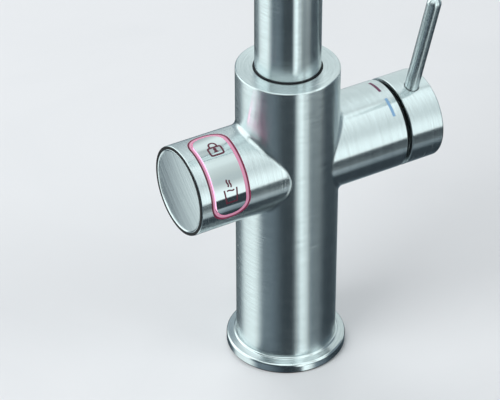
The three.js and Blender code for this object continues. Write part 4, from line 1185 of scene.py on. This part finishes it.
VEIL = 0.42  # over the strips, behind the tap


def soft_step(value, low, high):
    share = np.clip((value - low) / (high - low), 0, 1)
    return share * share * (3 - 2 * share)


def faded(value, target, share):
    return value + (target - value) * share


def tent_light(spots):
    """The tent's brightness at each of its places."""
    way = unit(spots - np.array(TENT_MIDDLE))
    right = way[:, 0]
    height = np.degrees(np.arcsin(way[:, 2]))
    direction = np.degrees(np.arctan2(right, -way[:, 1]) - CAMERA_AZIMUTH)
    direction = (direction + 180) % 360 - 180
    over = np.degrees(np.arctan2(way[:, 2], -way[:, 1]))
    over = np.where(over < -60, over + 360, over)

    lean = 1.5 * np.clip(height + 35, -5, 5)
    lean *= soft_step(direction, -30, 0) * soft_step(-direction, -60, -40)
    low = np.interp(direction + lean, *zip(*LOW_ROUND))
    shaded = soft_step(direction, 30, 34) * (1 - soft_step(direction, 118, 122))
    top = height + 9 * soft_step(direction, 44, 48)
    low = faded(low, DARK, shaded * (soft_step(top, -29, -26) + 1 - soft_step(height, -52, -48)))

    high = np.interp(direction, *zip(*HIGH_ROUND))
    high = faded(high, ROOF, soft_step(height, 30, 36) * (1 - soft_step(over, 84, 98)))
    strips = np.interp(over, *zip(*STRIPS))
    narrow = soft_step(right, 0.29, 0.32) * (1 - soft_step(right, 0.42, 0.45))
    strips = faded(strips, np.interp(over, *zip(*NARROW_STRIPS)), narrow)
    behind = soft_step(over, 98, 106)
    strips = faded(strips, STRIPS_END, soft_step(right, 0.6, 0.78) * (1 - behind))
    strips = faded(strips, STRIPS_END_BEHIND, soft_step(right, 0.55, 0.66) * behind)
    high = faded(high, strips, soft_step(direction, 16, 24) + soft_step(-direction, 168, 176))
    veil = soft_step(over, 95, 102) * (1 - soft_step(over, 150, 165))
    veil *= soft_step(right, -0.25, -0.1) * (1 - soft_step(right, 0.12, 0.2))
    high = faded(high, VEIL, veil)
    return faded(low, high, soft_step(height, ROOM_BEGINS - 0.7, ROOM_BEGINS + 0.7))


def add_tent():
    bm = bmesh.new()
    bmesh.ops.create_uvsphere(bm, u_segments=360, v_segments=180, radius=TENT_RADIUS)
    mesh = mesh_of(bm, "light_tent", Matrix.Translation(TENT_MIDDLE))
    keep(mesh, "glow", tent_light(read_all(mesh.vertices, "co", 3)), "POINT")
    material, tree, shader = blank_material("tent_cloth", "Emission")
    level = attribute(tree, "glow", "Fac")
    brightness = spread_out(tree, level, 0.05, 0.8)
    tint = blend_colours(tree, brightness, (0.75, 1.0, 1.2, 1), (0.905, 1.0, 1.0, 1))
    tree.links.new(tint, shader.inputs["Color"])
    tree.links.new(level, shader.inputs["Strength"])
    material.cycles.emission_sampling = "NONE"
    mesh.materials.append(material)
    tent = into_scene("light_tent", mesh)
    tent.visible_camera = tent.visible_diffuse = False
    tent.visible_shadow = tent.visible_transmission = False


add_tent()

bpy.context.scene.view_settings.view_transform = "Standard"
